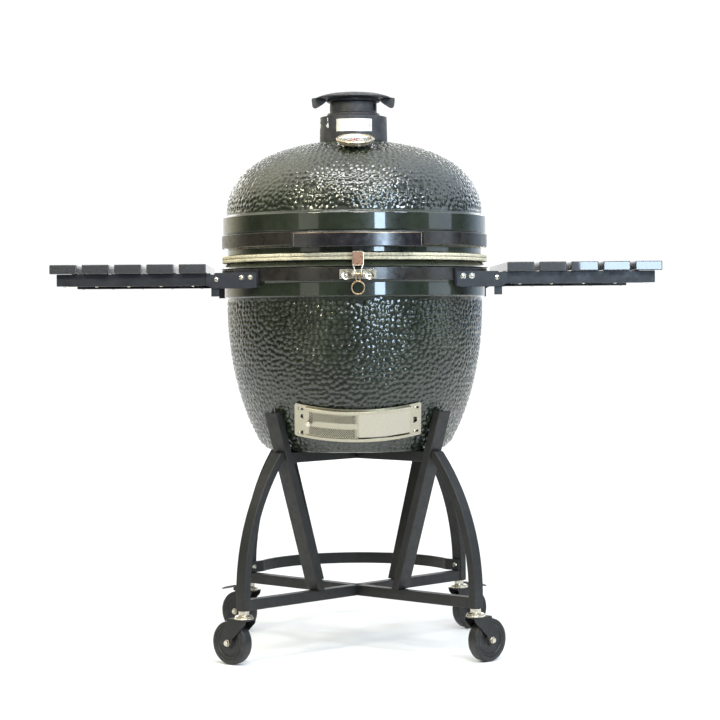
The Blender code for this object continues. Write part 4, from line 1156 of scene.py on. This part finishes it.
def make_latch():
    plate = rounded([(-0.0415, 0.8785), (0.0415, 0.8785), (0.0415, 0.9000), (-0.0415, 0.9000)], 0.0012)
    base = prism(plate, 0.3176, 0.3203, axes((0, 0, 0), (1, 0, 0), (0, 0, 1)), 0.0005)
    ears = [block((side * 0.0103, -0.3395, 0.8825), (side * 0.0130, -0.3180, 0.8955), 0.0006)
            for _, side in SIDES]
    pin = rod((-0.0145, LATCH_Y, LATCH_Z), (0.0145, LATCH_Y, LATCH_Z), 0.0024, 20, 0.0005)
    put("latch_plate", gather(base, *ears, pin), GILT, ROOT, "latch_bracket")
    screws = [moved(button_bolt(0.0046, 0.0030, False), facing(0.0, 0.3216, 0.8862) @
                    Matrix.Translation((side * 0.0265, 0, 0))) for _, side in SIDES]
    cups = [(0.0040, 0.0), (0.0096, 0.0), (0.0100, 0.0005), (0.0096, 0.0016), (0.0080, 0.0014),
            (0.0060, 0.0008), (0.0040, 0.0010)]
    washers = [moved(lathe(cups, 40), facing(0.0, 0.3202, 0.8862) @ Matrix.Translation((side * 0.0265, 0, 0)))
               for _, side in SIDES]
    put("latch_screws", gather(*screws, *washers), PLATED, ROOT)

    corners = [(-0.0132, 0.9072), (0.0132, 0.9072), (0.0132, 0.9403), (-0.0132, 0.9403)]
    sheet = prism(rounded(corners, 0.0045, 4), 0.3353, 0.3367, axes((0, 0, 0), (1, 0, 0), (0, 0, 1)), 0.0004)
    edge = [(x, -0.3362, z) for x, z in rounded([(x * 0.93, z + (0.0010 if z < 0.92 else -0.0010))
                                                for x, z in corners], 0.0045, 5)]
    put("catch_plate", sheet, COPPER, "latch_catch", "latch_bail")
    wires = [tube_along(edge, 0.0013, 8, True)]
    for _, side in SIDES:
        wires.append(eyelet(side * 0.0080, 0.0030))
        wires.append(tube_along([(side * 0.0080, LATCH_Y - 0.0038, LATCH_Z + 0.0020),
                                 (side * 0.0070, -0.3366, LATCH_Z + 0.0080), (side * 0.0085, -0.3364, 0.9020),
                                 (side * 0.0118, -0.3362, 0.9100)], 0.0013, 10))
    put("catch_wires", gather(*wires), GILT, "latch_catch")

    ring_z = 0.8580
    hoop = [(PULL_RADIUS * math.sin(a), LATCH_Y, ring_z + PULL_RADIUS * math.cos(a))
            for a in spread(0, 2 * math.pi, 48)[:-1]]
    pieces = [tube_along(hoop, 0.0018, 12, True)]
    for _, side in SIDES:
        pieces.append(eyelet(side * 0.0042, 0.0028))
        pieces.append(rod((side * 0.0042, LATCH_Y, LATCH_Z - 0.0036),
                          (side * 0.0042, LATCH_Y, ring_z + 0.0135), 0.0016, 16))
    put("latch_ring", gather(*pieces), BRONZE, "latch_ring", "latch_lever")


# ---------------------------------------------------------------- draft door

DOOR_RADIUS = 0.2800
SHEET_STEP = 0.0050
HOLE_RADIUS = 0.0018
HOLE_PITCH = 0.0054
HOLE_ROWS = 7
STRIP_LOW = 0.0085
STRIP_STEP = 0.0030


def fine(outline, step):
    """The same closed outline with extra points along its long sides."""
    made = []
    for number, point in enumerate(outline):
        here = Vector(point)
        run = Vector(outline[(number + 1) % len(outline)]) - here
        count = max(1, int(run.length / step))
        made += [tuple(here + run * part / count) for part in range(count)]
    return made


def bent_sheet(outline, holes, inner, outer, place):
    """Thin sheet cut flat, with holes, and then curved about the draft door's axis."""
    curve = bpy.data.curves.new("sheet", "CURVE")
    curve.dimensions = "2D"
    curve.fill_mode = "BOTH"
    curve.extrude = 0.5
    for loop in [outline] + holes:
        spline = curve.splines.new("POLY")
        spline.points.add(len(loop) - 1)
        for point, (u, v) in zip(spline.points, loop):
            point.co = (u, v, 0.0, 1.0)
        spline.use_cyclic_u = True
    holder = show("sheet", curve)
    mesh = evaluated(holder)
    bpy.data.objects.remove(holder, do_unlink=True)
    bm = bmesh.new()
    bm.from_mesh(mesh)
    bmesh.ops.remove_doubles(bm, verts=bm.verts, dist=1e-6)
    edges = [u for u, _ in outline]
    for line in spread(min(edges), max(edges), int((max(edges) - min(edges)) / SHEET_STEP))[1:-1]:
        bmesh.ops.bisect_plane(bm, geom=bm.verts[:] + bm.edges[:] + bm.faces[:], dist=1e-7,
                               plane_co=(line, 0.0, 0.0), plane_no=(1.0, 0.0, 0.0))
    for corner in bm.verts:
        angle = corner.co.x / DOOR_RADIUS
        radius = (inner + outer) / 2 + corner.co.z * (outer - inner)
        corner.co = (radius * math.sin(angle), -radius * math.cos(angle), corner.co.y)
    sheet = as_mesh(bm)
    curved_shading(sheet)
    sheet.transform(place)
    return sheet


def curved_shading(sheet):
    """Give both faces of a bent sheet the exact shading of the curve, and leave its edges crisp."""
    sheet.shade_smooth()
    normals = [(0.0, 0.0, 1.0)] * len(sheet.loops)
    for face in sheet.polygons:
        for loop in face.loop_indices:
            point = sheet.vertices[sheet.loops[loop].vertex_index].co
            radial = Vector((point.x, point.y, 0.0)).normalized()
            lean = face.normal.dot(radial)
            normals[loop] = radial * math.copysign(1.0, lean) if abs(lean) > 0.7 else face.normal
    sheet.normals_split_custom_set(normals)


def circle(u, v, radius, sides=12):
    return [(u + x, v + z) for x, z in arc((0, 0), radius, 0, 2 * math.pi, sides)[:-1]]


def on_door(u, v, radius):
    """Placement on the curved door at a distance round it and up it: Z points out."""
    return facing(u / DOOR_RADIUS, radius, v)


def make_draft_frame():
    place = door_place()
    end = DOOR_RADIUS * math.radians(31.5)
    outline = fine(rounded([(-end, -0.041), (end, -0.041), (end, 0.041), (-end, 0.041)], 0.007, 5), 0.004)
    window = fine([(-0.1160, -0.0320), (-0.0080, -0.0320), (-0.0080, 0.0320), (-0.1160, 0.0320)], 0.004)
    flange = (end + DOOR_RADIUS * math.radians(25.4)) / 2
    slots = [window]
    for v in (0.0115, -0.0300):
        slots.append([(-flange, v - 0.0030), (-flange + 0.0080, v - 0.0060),
                      (-flange + 0.0075, v + 0.0065), (-flange + 0.0025, v + 0.0045)])
    slots.append([(flange - 0.006, -0.0085), (flange + 0.004, -0.0050), (flange + 0.0030, 0.0055),
                  (flange - 0.0065, 0.0085)])
    for side, v in ((-1, 0.0295), (1, 0.0295), (1, -0.0300)):
        slots.append(circle(side * flange + 0.0050, v, 0.0032))
    sheet = bent_sheet(outline, slots, FRAME_BACK, FRAME_FRONT, place)
    reach = math.radians(25.4)
    rails = []
    for side in (-1.0, 1.0):
        rail = [(0.2778, 0.0346), (0.2830, 0.0346), (0.2832, 0.0344), (0.2832, 0.0305), (0.2848, 0.0305),
                (0.2848, 0.0370), (0.2843, 0.0375), (0.2778, 0.0375)]
        rails.append(sweep_arc([(radius, side * z) for radius, z in rail], -reach, reach, 72, place))
    put("door_frame", gather(sheet, *rails), STEEL, ROOT, "draft_frame")
    screws = []
    for side, v in ((-1, 0.0300), (-1, -0.0310), (1, 0.0300), (1, -0.0295)):
        radius = 0.0030 if side < 0 and v < 0 else 0.0040
        at = on_door(side * flange - 0.0020, v, FRAME_FRONT)
        screws.append(moved(button_bolt(radius, 0.0026), place @ at))
    put("frame_screws", gather(*screws), PLATED, ROOT)


def make_draft_panels():
    place = door_place()
    reach = DOOR_RADIUS * math.radians(25.0)
    slack = DOOR_RADIUS * math.radians(0.15)
    tall = 0.0335
    panel = rounded([(0.2791, -tall), (0.2803, -tall), (0.2803, tall), (0.2791, tall)], 0.0003, 2)
    door = sweep_arc(panel, math.radians(0.15), math.radians(25.0), 48, place)
    put("door_plate", door, PANEL, "door_panel", "draft_door")
    holes = []
    columns = int((reach - 0.006) / HOLE_PITCH)
    for side in (-1.0, 1.0):
        for row in range(HOLE_ROWS):
            shift = HOLE_PITCH / 2 * (row % 2)
            for column in range(columns):
                u = -slack - 0.0045 - shift - column * HOLE_PITCH
                if u > -reach + 0.0085:
                    holes.append(circle(u, side * (STRIP_LOW + row * STRIP_STEP), HOLE_RADIUS, 8))
    outline = fine([(-reach, -tall), (-slack, -tall), (-slack, tall), (-reach, tall)], 0.003)
    screen = bent_sheet(outline, holes, 0.2811, 0.2823, place)
    put("screen_plate", screen, STEEL, "screen_panel", "draft_screen")
    knob = [(0.0, 0.2814), (0.0035, 0.2814), (0.0035, 0.2862), (0.0058, 0.2878), (0.0062, 0.2890),
            (0.0062, 0.2908), (0.0052, 0.2922), (0.0, 0.2930)]
    outward_turn = Matrix.Rotation(math.radians(-23.3), 4, "Z") @ axes((0, 0, 0), (1, 0, 0), (0, 0, 1))
    put("screen_knob", lathe(knob, 32, place @ outward_turn), PLATED, "screen_panel")


# ---------------------------------------------------------------- stand

def corner(side_x, side_y):
    """Placement for outlines of (distance from the axis, z) on a diagonal of the stand."""
    return axes((0, 0, 0), (side_x, side_y, 0), (0, 0, 1))


def strut_slope():
    return (STRUT_HEAD[0] - STRUT_FOOT[0]) / (STRUT_HEAD[1] - STRUT_FOOT[1])


def strut_radius(z):
    return STRUT_FOOT[0] + (z - STRUT_FOOT[1]) * strut_slope()


WELD_RADIUS = 0.0018


def weld_bead(start, end):
    """A lumpy run of weld between two points."""
    start, end = Vector(start), Vector(end)
    run = end - start
    count = max(3, int(run.length / 0.0035))
    drops = []
    for number in range(count + 1):
        size = WELD_RADIUS * (1.0 + 0.18 * math.sin(number * 2.3))
        bm = bmesh.new()
        bmesh.ops.create_icosphere(bm, subdivisions=2, radius=size)
        bmesh.ops.scale(bm, vec=(1.0, 1.0, 0.75), verts=bm.verts)
        bmesh.ops.translate(bm, vec=start + run * number / count, verts=bm.verts)
        drops.append(as_mesh(bm))
    return gather(*drops)


def make_crosses():
    half = TUBE / 2
    strut_half = 0.010 / math.cos(math.atan(strut_slope()))
    end = LEG_OUTER - LEG_THICK - 0.0003
    low = LOWER_CROSS_Z
    beam = [(-end, low), (end, low), (end, low + TUBE), (-end, low + TUBE)]
    beams = [prism(beam, -half, half, corner(1, side), 0.0018, 3) for side in (1, -1)]
    put("bottom_cross", gather(*beams), POWDER, ROOT, "lower_cross")
    low = UPPER_CROSS_Z
    bottom_end = strut_radius(low) - strut_half - 0.0006
    top_end = strut_radius(low + TUBE) - strut_half - 0.0006
    beam = [(-bottom_end, low), (bottom_end, low), (top_end, low + TUBE), (-top_end, low + TUBE)]
    beams = [prism(beam, -half, half, corner(1, side), 0.0018, 3) for side in (1, -1)]
    put("top_cross", gather(*beams), POWDER, ROOT, "upper_cross")


def make_legs():
    half = 0.010 / math.cos(math.atan(strut_slope()))
    strut = [(STRUT_FOOT[0] - half, STRUT_FOOT[1]), (STRUT_FOOT[0] + half, STRUT_FOOT[1]),
             (STRUT_HEAD[0] + half, STRUT_HEAD[1]), (STRUT_HEAD[0] - half, STRUT_HEAD[1])]
    centre = (LEG_OUTER - LEG_BEND_RADIUS, LEG_BEND_Z)
    climb = math.asin((LEG_TOP_Z - LEG_BEND_Z) / LEG_BEND_RADIUS)
    inner_radius = LEG_BEND_RADIUS - LEG_THICK
    inner_climb = math.asin((LEG_TOP_Z - LEG_BEND_Z) / inner_radius)
    leg = [(LEG_OUTER, LOWER_CROSS_Z)] + arc(centre, LEG_BEND_RADIUS, 0.0, climb, 40)
    leg += arc(centre, inner_radius, inner_climb, 0.0, 40) + [(LEG_OUTER - LEG_THICK, LOWER_CROSS_Z)]
    for end_name, end in ENDS:
        for side_name, side in SIDES:
            place = corner(side, end)
            upright = prism(strut, -STRUT_WIDE / 2, STRUT_WIDE / 2, place, 0.0020, 3)
            curved = prism(leg, -LEG_WIDE / 2, LEG_WIDE / 2, place, 0.0022, 3)
            put("stand_leg_" + end_name + "_" + side_name, gather(upright, curved), POWDER, ROOT,
                "leg_" + end_name + "_" + side_name)
            inner = LEG_OUTER - LEG_THICK - 0.001
            low, high = LOWER_CROSS_Z, LOWER_CROSS_Z + TUBE
            ends = [((low + 0.003, edge * TUBE / 2), (high - 0.003, edge * TUBE / 2)) for edge in (-1.0, 1.0)]
            ends.append(((high, -0.010), (high, 0.010)))
            beads = [weld_bead(place @ Vector((inner, *start)), place @ Vector((inner, *stop)))
                     for start, stop in ends]
            put("stand_weld_" + end_name + "_" + side_name, gather(*beads), POWDER, ROOT)


def make_rear_bar():
    tab_radius = LEG_OUTER - LEG_THICK - 0.0009 - BAR_THICK
    bow_x, bow_y, bow_back = 0.2304, 0.2752, 0.4380
    rise = bow_back - bow_y
    radius = (bow_x ** 2 + rise ** 2) / (2 * rise)
    centre = (0.0, bow_back - radius)
    start = math.atan2(bow_y - centre[1], bow_x)
    inner = arc(centre, radius, start, math.pi - start, 64)
    outer = arc(centre, radius + BAR_THICK, start, math.pi - start, 64)
    root = math.sqrt(0.5)
    tab_inner = ((tab_radius + 0.012) * root, (tab_radius - 0.012) * root)
    tab_outer = ((tab_radius + BAR_THICK + 0.012) * root, (tab_radius + BAR_THICK - 0.012) * root)
    outline = [tab_inner] + inner + [(-tab_inner[0], tab_inner[1])]
    outline += [(-tab_outer[0], tab_outer[1])] + outer[::-1] + [tab_outer]
    put("back_bar", prism(outline, *BAR_Z, bevel=0.0010), POWDER, ROOT, "rear_bar")
    bolts = []
    middle_z = (BAR_Z[0] + BAR_Z[1]) / 2
    for _, side in SIDES:
        at = Vector((side * tab_radius * root, tab_radius * root, middle_z))
        inward = Vector((-side, -1.0, 0.0)).normalized()
        place = axes(at, Vector((0, 0, 1)).cross(inward), (0, 0, 1))
        bolts.append(moved(button_bolt(0.0062, 0.0040), place))
    put("back_bar_bolts", gather(*bolts), PLATED, ROOT)


# ---------------------------------------------------------------- casters

def fork_parts(with_pedal):
    """A caster fork with its stem at the origin and its wheel toward +X: black parts, bright parts."""
    cheek = [(-0.020, 0.1035), (-0.018, 0.096), (0.020, 0.060)]
    cheek += arc((TRAIL, WHEEL_RADIUS), 0.0125, math.radians(200), math.radians(370), 14)
    cheek += [(0.0500, 0.075), (0.0340, 0.1035)]
    sheets = [prism(cheek, side * 0.0170 - 0.0014, side * 0.0170 + 0.0014, UPRIGHT, 0.0005)
              for side in (-1.0, 1.0)]
    crown = block((-0.021, -0.0184, 0.1030), (0.0345, 0.0184, 0.1065), 0.0012, 3)
    race = lathe([(0.0, 0.1060), (0.0215, 0.1060), (0.0225, 0.1068), (0.0225, 0.1085), (0.0212, 0.1100),
                  (0.0195, 0.1106), (0.0205, 0.1118), (0.0205, 0.1128), (0.0180, 0.1146), (0.0120, 0.1155),
                  (0.0120, 0.1244), (0.0, 0.1244)], 40)
    axle = rod((TRAIL, -0.0232, WHEEL_RADIUS), (TRAIL, 0.0232, WHEEL_RADIUS), 0.0036, 20, 0.0005)
    black = [crown, *sheets]
    bright = [race, axle]
    for side in (-1.0, 1.0):
        out = axes((TRAIL, side * 0.0184, WHEEL_RADIUS), (1, 0, 0), (0, 0, -side))
        bright.append(moved(hex_bolt(0.0115, 0.0036, 0.0078), out))
    if with_pedal:
        hinge_x, hinge_z = PEDAL_HINGE
        black += [block((0.0300, side * 0.0140, 0.1060), (0.0420, side * 0.0165, 0.1165), 0.0006)
                  for side in (-1.0, 1.0)]
        black.append(block((0.0250, -0.0170, 0.1030), (0.0420, 0.0170, 0.1062), 0.0006))
        bright.append(rod((hinge_x, -0.0165, hinge_z), (hinge_x, 0.0165, hinge_z), 0.0020, 16))
    return gather(*black), gather(*bright)


def wheel_mesh():
    side = [(0.0048, 0.0150), (0.0120, 0.0150), (0.0130, 0.0145), (0.0142, 0.0112), (0.0158, 0.0104),
            (0.0300, 0.0102), (0.0318, 0.0108), (0.0328, 0.0126), (0.0338, 0.0134), (0.0372, 0.0136),
            (0.0380, 0.0126), (0.0390, 0.0126), (0.0398, 0.0138), (0.0450, 0.0138), (0.0482, 0.0126),
            (0.0496, 0.0102), (0.0500, 0.0060)]
    outline = side + [(radius, -out) for radius, out in reversed(side)]
    return lathe(outline, 72, UPRIGHT)


PEDAL_FALL = 0.24


def pedal_mesh():
    """A brake pedal with its hinge tube at the origin, reaching toward +X."""
    tube = lathe([(0.0027, -0.0130), (0.0045, -0.0130), (0.0045, 0.0130), (0.0027, 0.0130)], 24, UPRIGHT)
    outline = rounded([(0.0020, 0.0030), (0.0160, 0.0012), (0.0480, -0.0060), (0.0480, -0.0100),
                       (0.0300, -0.0062), (0.0035, -0.0015)], 0.0010)
    plate = prism(outline, -0.0130, 0.0130, UPRIGHT, 0.0008)
    ribs = [block((x, -0.0105, -0.0042 - (x - 0.030) * PEDAL_FALL),
                  (x + 0.0018, 0.0105, 0.0002 - (x - 0.026) * PEDAL_FALL), 0.0004)
            for x in (0.028, 0.033, 0.038, 0.043)]
    return gather(tube, plate, *ribs)


def make_casters():
    for end_name, end in ENDS:
        black, bright = fork_parts(end > 0)
        for side_name, side in SIDES:
            name = "_" + end_name + "_" + side_name
            heading = math.pi - TRAIL_ANGLE if side < 0 else TRAIL_ANGLE
            turn = Matrix.Rotation(heading, 4, "Z")
            foot = Vector((side * FOOT, end * FOOT, 0.0))
            place = Matrix.Translation(foot) @ turn
            put("fork" + name, moved(black, place), POWDER, "caster" + name,
                "caster_fork" + name)
            put("fork_race" + name, moved(bright, place), PLATED, "caster" + name)
            hub = place @ Vector((TRAIL, 0.0, WHEEL_RADIUS))
            put("tyre" + name, moved(wheel_mesh(), Matrix.Translation(hub) @ turn), RUBBER, "roller" + name,
                "wheel" + name)
            if end > 0:
                hinge = place @ Vector((PEDAL_HINGE[0], 0.0, PEDAL_HINGE[1]))
                put("pedal" + name, moved(pedal_mesh(), Matrix.Translation(hinge) @ turn), PEDAL,
                    "pedal_" + side_name, "brake_pedal" + name)


# ---------------------------------------------------------------- side shelves

SLAT_PITCH = 0.0736
SLAT_WIDTH = 0.062
SLAT_FIRST_X = 0.345
SLAT_COUNT = 5
SLAT_HALF = 0.240
SLAT_Z = (0.8949, 0.9165)


def make_bracket(side, end, name):
    """Hinge bracket clamped to the lower band, with the pin that carries a shelf arm."""
    outline = [(0.2278, 0.8620), (0.2278, 0.8960), (0.3250, 0.8960), (0.3280, 0.8915), (0.3340, 0.8915),
               (0.3370, 0.8960), (0.3460, 0.8930), (0.3460, 0.8680), (0.3300, 0.8600), (0.2450, 0.8600)]
    plate = prism(rounded(outline, 0.0016), *BRACKET_Y, UPRIGHT, 0.0005)
    strap = rounded([(0.3180, 0.8640), (0.3222, 0.8640), (0.3222, 0.9038), (0.3180, 0.9038)], 0.0008)
    foot = sweep_arc(strap, math.radians(44.6), math.radians(62), 24)
    mesh = mirrored(gather(plate, foot), side, -end)
    put(name + "_plate", mesh, NAVY, ROOT, name)
    bolts = []
    for x in (0.2445, 0.2645):
        at = axes((x, -BRACKET_Y[1], 0.8850), (1, 0, 0), (0, 0, 1))
        bolts.append(moved(button_bolt(0.0052, 0.0042, False), at))
        bolts.append(moved(lathe([(0.0, 0.0), (0.0066, 0.0), (0.0066, 0.0010), (0.0, 0.0010)], 28), at))
    pivot = axes((SHELF_PIVOT_X, -BRACKET_Y[1], SHELF_PIVOT_Z), (1, 0, 0), (0, 0, 1))
    bolts.append(moved(button_bolt(0.0056, 0.0024), pivot))
    bolts.append(rod((SHELF_PIVOT_X, -0.2224, SHELF_PIVOT_Z), (SHELF_PIVOT_X, -0.2160, SHELF_PIVOT_Z),
                     0.0038, 20))
    put(name + "_bolts", mirrored(gather(*bolts), side, -end), PLATED, ROOT)


def make_shelf_frame(name, side):
    y0, y1 = ARM_Y
    low, high = ARM_Z
    web = rounded([(0.3100, 0.8700), (0.3150, low), (ARM_END_X, low), (ARM_END_X, high), (0.3400, high),
                   (0.3280, 0.8910), (0.3100, 0.8910)], 0.0020)
    hole = rod((SHELF_PIVOT_X, -0.24, SHELF_PIVOT_Z), (SHELF_PIVOT_X, 0.24, SHELF_PIVOT_Z), 0.0045, 24)
    pieces = []
    screws = []
    for end in (-1.0, 1.0):
        near, far = sorted((-end * y0, -end * y1))
        pieces.append(carve(prism(web, near, far, UPRIGHT, 0.0004), [hole]))
        pieces.append(block((0.3560, end * 0.2205, low - 0.0003), (0.6620, end * 0.1960, low + 0.0025),
                            0.0004))
        pieces.append(block((0.3160, end * y1, 0.8417), (0.3340, end * y0, low + 0.004), 0.0006))
        for number in range(SLAT_COUNT):
            x = SLAT_FIRST_X + number * SLAT_PITCH + SLAT_WIDTH / 2
            under = Matrix.Translation((x, end * 0.2060, low - 0.0003)) @ Matrix.Rotation(math.pi, 4, "X")
            screws.append(moved(button_bolt(0.0040, 0.0020), under))
    for x in (0.3720, 0.6480):
        pieces.append(block((x - 0.010, -0.2190, high - 0.0045), (x + 0.010, 0.2190, high - 0.0005), 0.0005))
    put("shelf_arms_" + name, mirrored(gather(*pieces), side), NAVY, "shelf_" + name,
        "shelf_frame_" + name)
    put("shelf_screws_" + name, mirrored(gather(*screws), side), PLATED, "shelf_" + name)


def make_shelves():
    for side_name, side in SIDES:
        for end_name, end in ENDS:
            make_bracket(side, end, "shelf_bracket_" + end_name + "_" + side_name)
        make_shelf_frame(side_name, side)
        for number in range(SLAT_COUNT):
            inner = SLAT_FIRST_X + number * SLAT_PITCH
            board = block((side * inner, -SLAT_HALF, SLAT_Z[0]),
                          (side * (inner + SLAT_WIDTH), SLAT_HALF, SLAT_Z[1]), 0.0022, 3)
            put("board_" + side_name + "_" + str(number + 1), board, BOARD, "shelf_" + side_name,
                "shelf_slat_" + side_name + "_" + str(number + 1))


# ---------------------------------------------------------------- stage and camera

CAMERA_DISTANCE = 5.107
CAMERA_HEIGHT = 0.790
CAMERA_SIDE = -0.116
LENS = 106.4
LOOK_RIGHT = math.radians(0.127)
LOOK_DOWN = math.radians(1.13)
ROLL = math.radians(-0.45)


def make_camera():
    """The camera stands level with the bowl, a little to the left, aimed slightly down."""
    data = bpy.data.cameras.new("camera")
    data.lens = LENS
    data.sensor_width = 36.0
    data.clip_end = 60.0
    camera = show("camera", data)
    camera.location = AXIS + Vector((CAMERA_SIDE, -CAMERA_DISTANCE, CAMERA_HEIGHT))
    heading = math.atan2(-CAMERA_SIDE, CAMERA_DISTANCE) + LOOK_RIGHT
    forward = Vector((math.sin(heading) * math.cos(LOOK_DOWN), math.cos(heading) * math.cos(LOOK_DOWN),
                      -math.sin(LOOK_DOWN)))
    turn = forward.to_track_quat("-Z", "Y").to_matrix() @ Matrix.Rotation(ROLL, 3, "Z")
    camera.rotation_euler = turn.to_euler()
    bpy.context.scene.camera = camera


BODY_MIDDLE = (0.0, 0.0, 0.9)
WHITE = (1.0, 1.0, 1.0)
# name, place, target, size, power, colour
SOFT_BOXES = (
    ("window", (1.12, -3.20, 1.15), (0.0, -0.04, 0.95), (0.50, 1.20), 46.0, (0.62, 0.80, 1.0)),
    ("left_panel", (-2.3, -2.85, 1.5), (0.0, 0.0, 0.8), (1.1, 2.0), 8.0, (1.0, 0.97, 0.88)),
    ("right_panel", (3.4, -0.9, 1.7), (0.0, 0.0, 0.8), (1.6, 2.0), 22.0, (0.72, 0.84, 1.0)),
    ("ceiling_left", (-1.9, -0.2, 3.1), BODY_MIDDLE, (2.2, 3.4), 34.0, (1.0, 0.97, 0.82)),
    ("ceiling_right", (1.9, -0.2, 3.1), BODY_MIDDLE, (2.2, 3.4), 34.0, (0.86, 0.92, 1.0)),
    ("lamp_left", (-1.8, -2.5, 2.5), BODY_MIDDLE, (0.6, 0.5), 46.0, (1.0, 0.96, 0.72)),
    ("lamp_middle", (0.2, -3.0, 2.5), BODY_MIDDLE, (0.6, 0.5), 44.0, (1.0, 1.0, 0.94)),
    ("lamp_right", (1.9, -2.4, 2.5), BODY_MIDDLE, (0.6, 0.5), 46.0, (0.76, 0.86, 1.0)),
    ("lamp_top", (0.0, -1.2, 3.0), BODY_MIDDLE, (1.8, 0.5), 55.0, WHITE),
    ("sweep", (0.0, 8.0, 3.2), (0.0, 8.0, 0.0), (16.0, 8.0), 650.0, WHITE),
)


def soft_box(name, place, target, size, power, colour):
    data = bpy.data.lights.new(name, "AREA")
    data.shape = "RECTANGLE"
    data.size, data.size_y = size
    data.energy = power
    data.color = colour
    lamp = show(name, data)
    lamp.location = place
    aim = Vector(target) - Vector(place)
    lamp.rotation_euler = aim.to_track_quat("-Z", "Y").to_euler()


FLOOR_CORNERS = ((-14.0, -9.0, -0.02), (14.0, 10.5, -0.0005))
FRONT_DIM = 0.05
BACK_BRIGHT = 1.05
SKY_LIFT = 0.75                          # how far the bright part of the sky leans over the grill
SKY_EDGE = (0.28, 0.80)                  # where the dim front turns into the bright back
LEFT_TINT = (1.0, 0.95, 0.70)
RIGHT_TINT = (0.62, 0.80, 1.0)
TINT_REACH = 0.12


def make_world():
    """A white studio sweep behind and above the grill, and a dim room on the side it faces."""
    world = bpy.data.worlds.new("studio")
    bpy.context.scene.world = world
    world.use_nodes = True
    nodes, links = world.node_tree.nodes, world.node_tree.links
    direction = nodes.new("ShaderNodeTexCoord").outputs["Generated"]
    split = nodes.new("ShaderNodeSeparateXYZ")
    links.new(direction, split.inputs["Vector"])
    lifted = nodes.new("ShaderNodeMath")
    lifted.operation = "MULTIPLY_ADD"
    lifted.inputs[1].default_value = SKY_LIFT
    links.new(split.outputs["Z"], lifted.inputs[0])
    links.new(split.outputs["Y"], lifted.inputs[2])
    strength = nodes.new("ShaderNodeMapRange")
    strength.interpolation_type = "SMOOTHSTEP"
    limits = (*SKY_EDGE, FRONT_DIM, BACK_BRIGHT)
    for socket, value in zip(("From Min", "From Max", "To Min", "To Max"), limits):
        strength.inputs[socket].default_value = value
    links.new(lifted.outputs["Value"], strength.inputs["Value"])
    from_left = nodes.new("ShaderNodeMapRange")
    from_left.inputs["From Min"].default_value = -1.0
    links.new(split.outputs["X"], from_left.inputs["Value"])
    tint = nodes.new("ShaderNodeValToRGB")
    ends = tint.color_ramp.elements
    ends[0].position, ends[0].color = TINT_REACH, (*LEFT_TINT, 1.0)
    ends[1].position, ends[1].color = 1.0 - TINT_REACH, (*RIGHT_TINT, 1.0)
    for position in (0.40, 0.60):
        ends.new(position).color = (1.0, 1.0, 1.0, 1.0)
    links.new(from_left.outputs["Result"], tint.inputs["Fac"])
    background = nodes["Background"]
    links.new(tint.outputs["Color"], background.inputs["Color"])
    links.new(strength.outputs["Result"], background.inputs["Strength"])


def make_stage():
    bpy.context.scene.view_settings.view_transform = "Standard"
    make_world()
    floor = show("floor", block(*FLOOR_CORNERS))
    floor.data.materials.append(floor_look())
    for name, place, target, size, power, colour in SOFT_BOXES:
        soft_box(name, place, target, size, power, colour)


# ---------------------------------------------------------------- build

def main():
    make_camera()
    make_stage()
    make_dome()
    make_bowl()
    make_bands()
    make_gaskets()
    make_fire_parts()
    make_collar()
    make_cap()
    make_thermometer()
    make_hinge()
    make_handle()
    make_latch()
    make_draft_frame()
    make_draft_panels()
    make_crosses()
    make_legs()
    make_rear_bar()
    make_casters()
    make_shelves()


main()
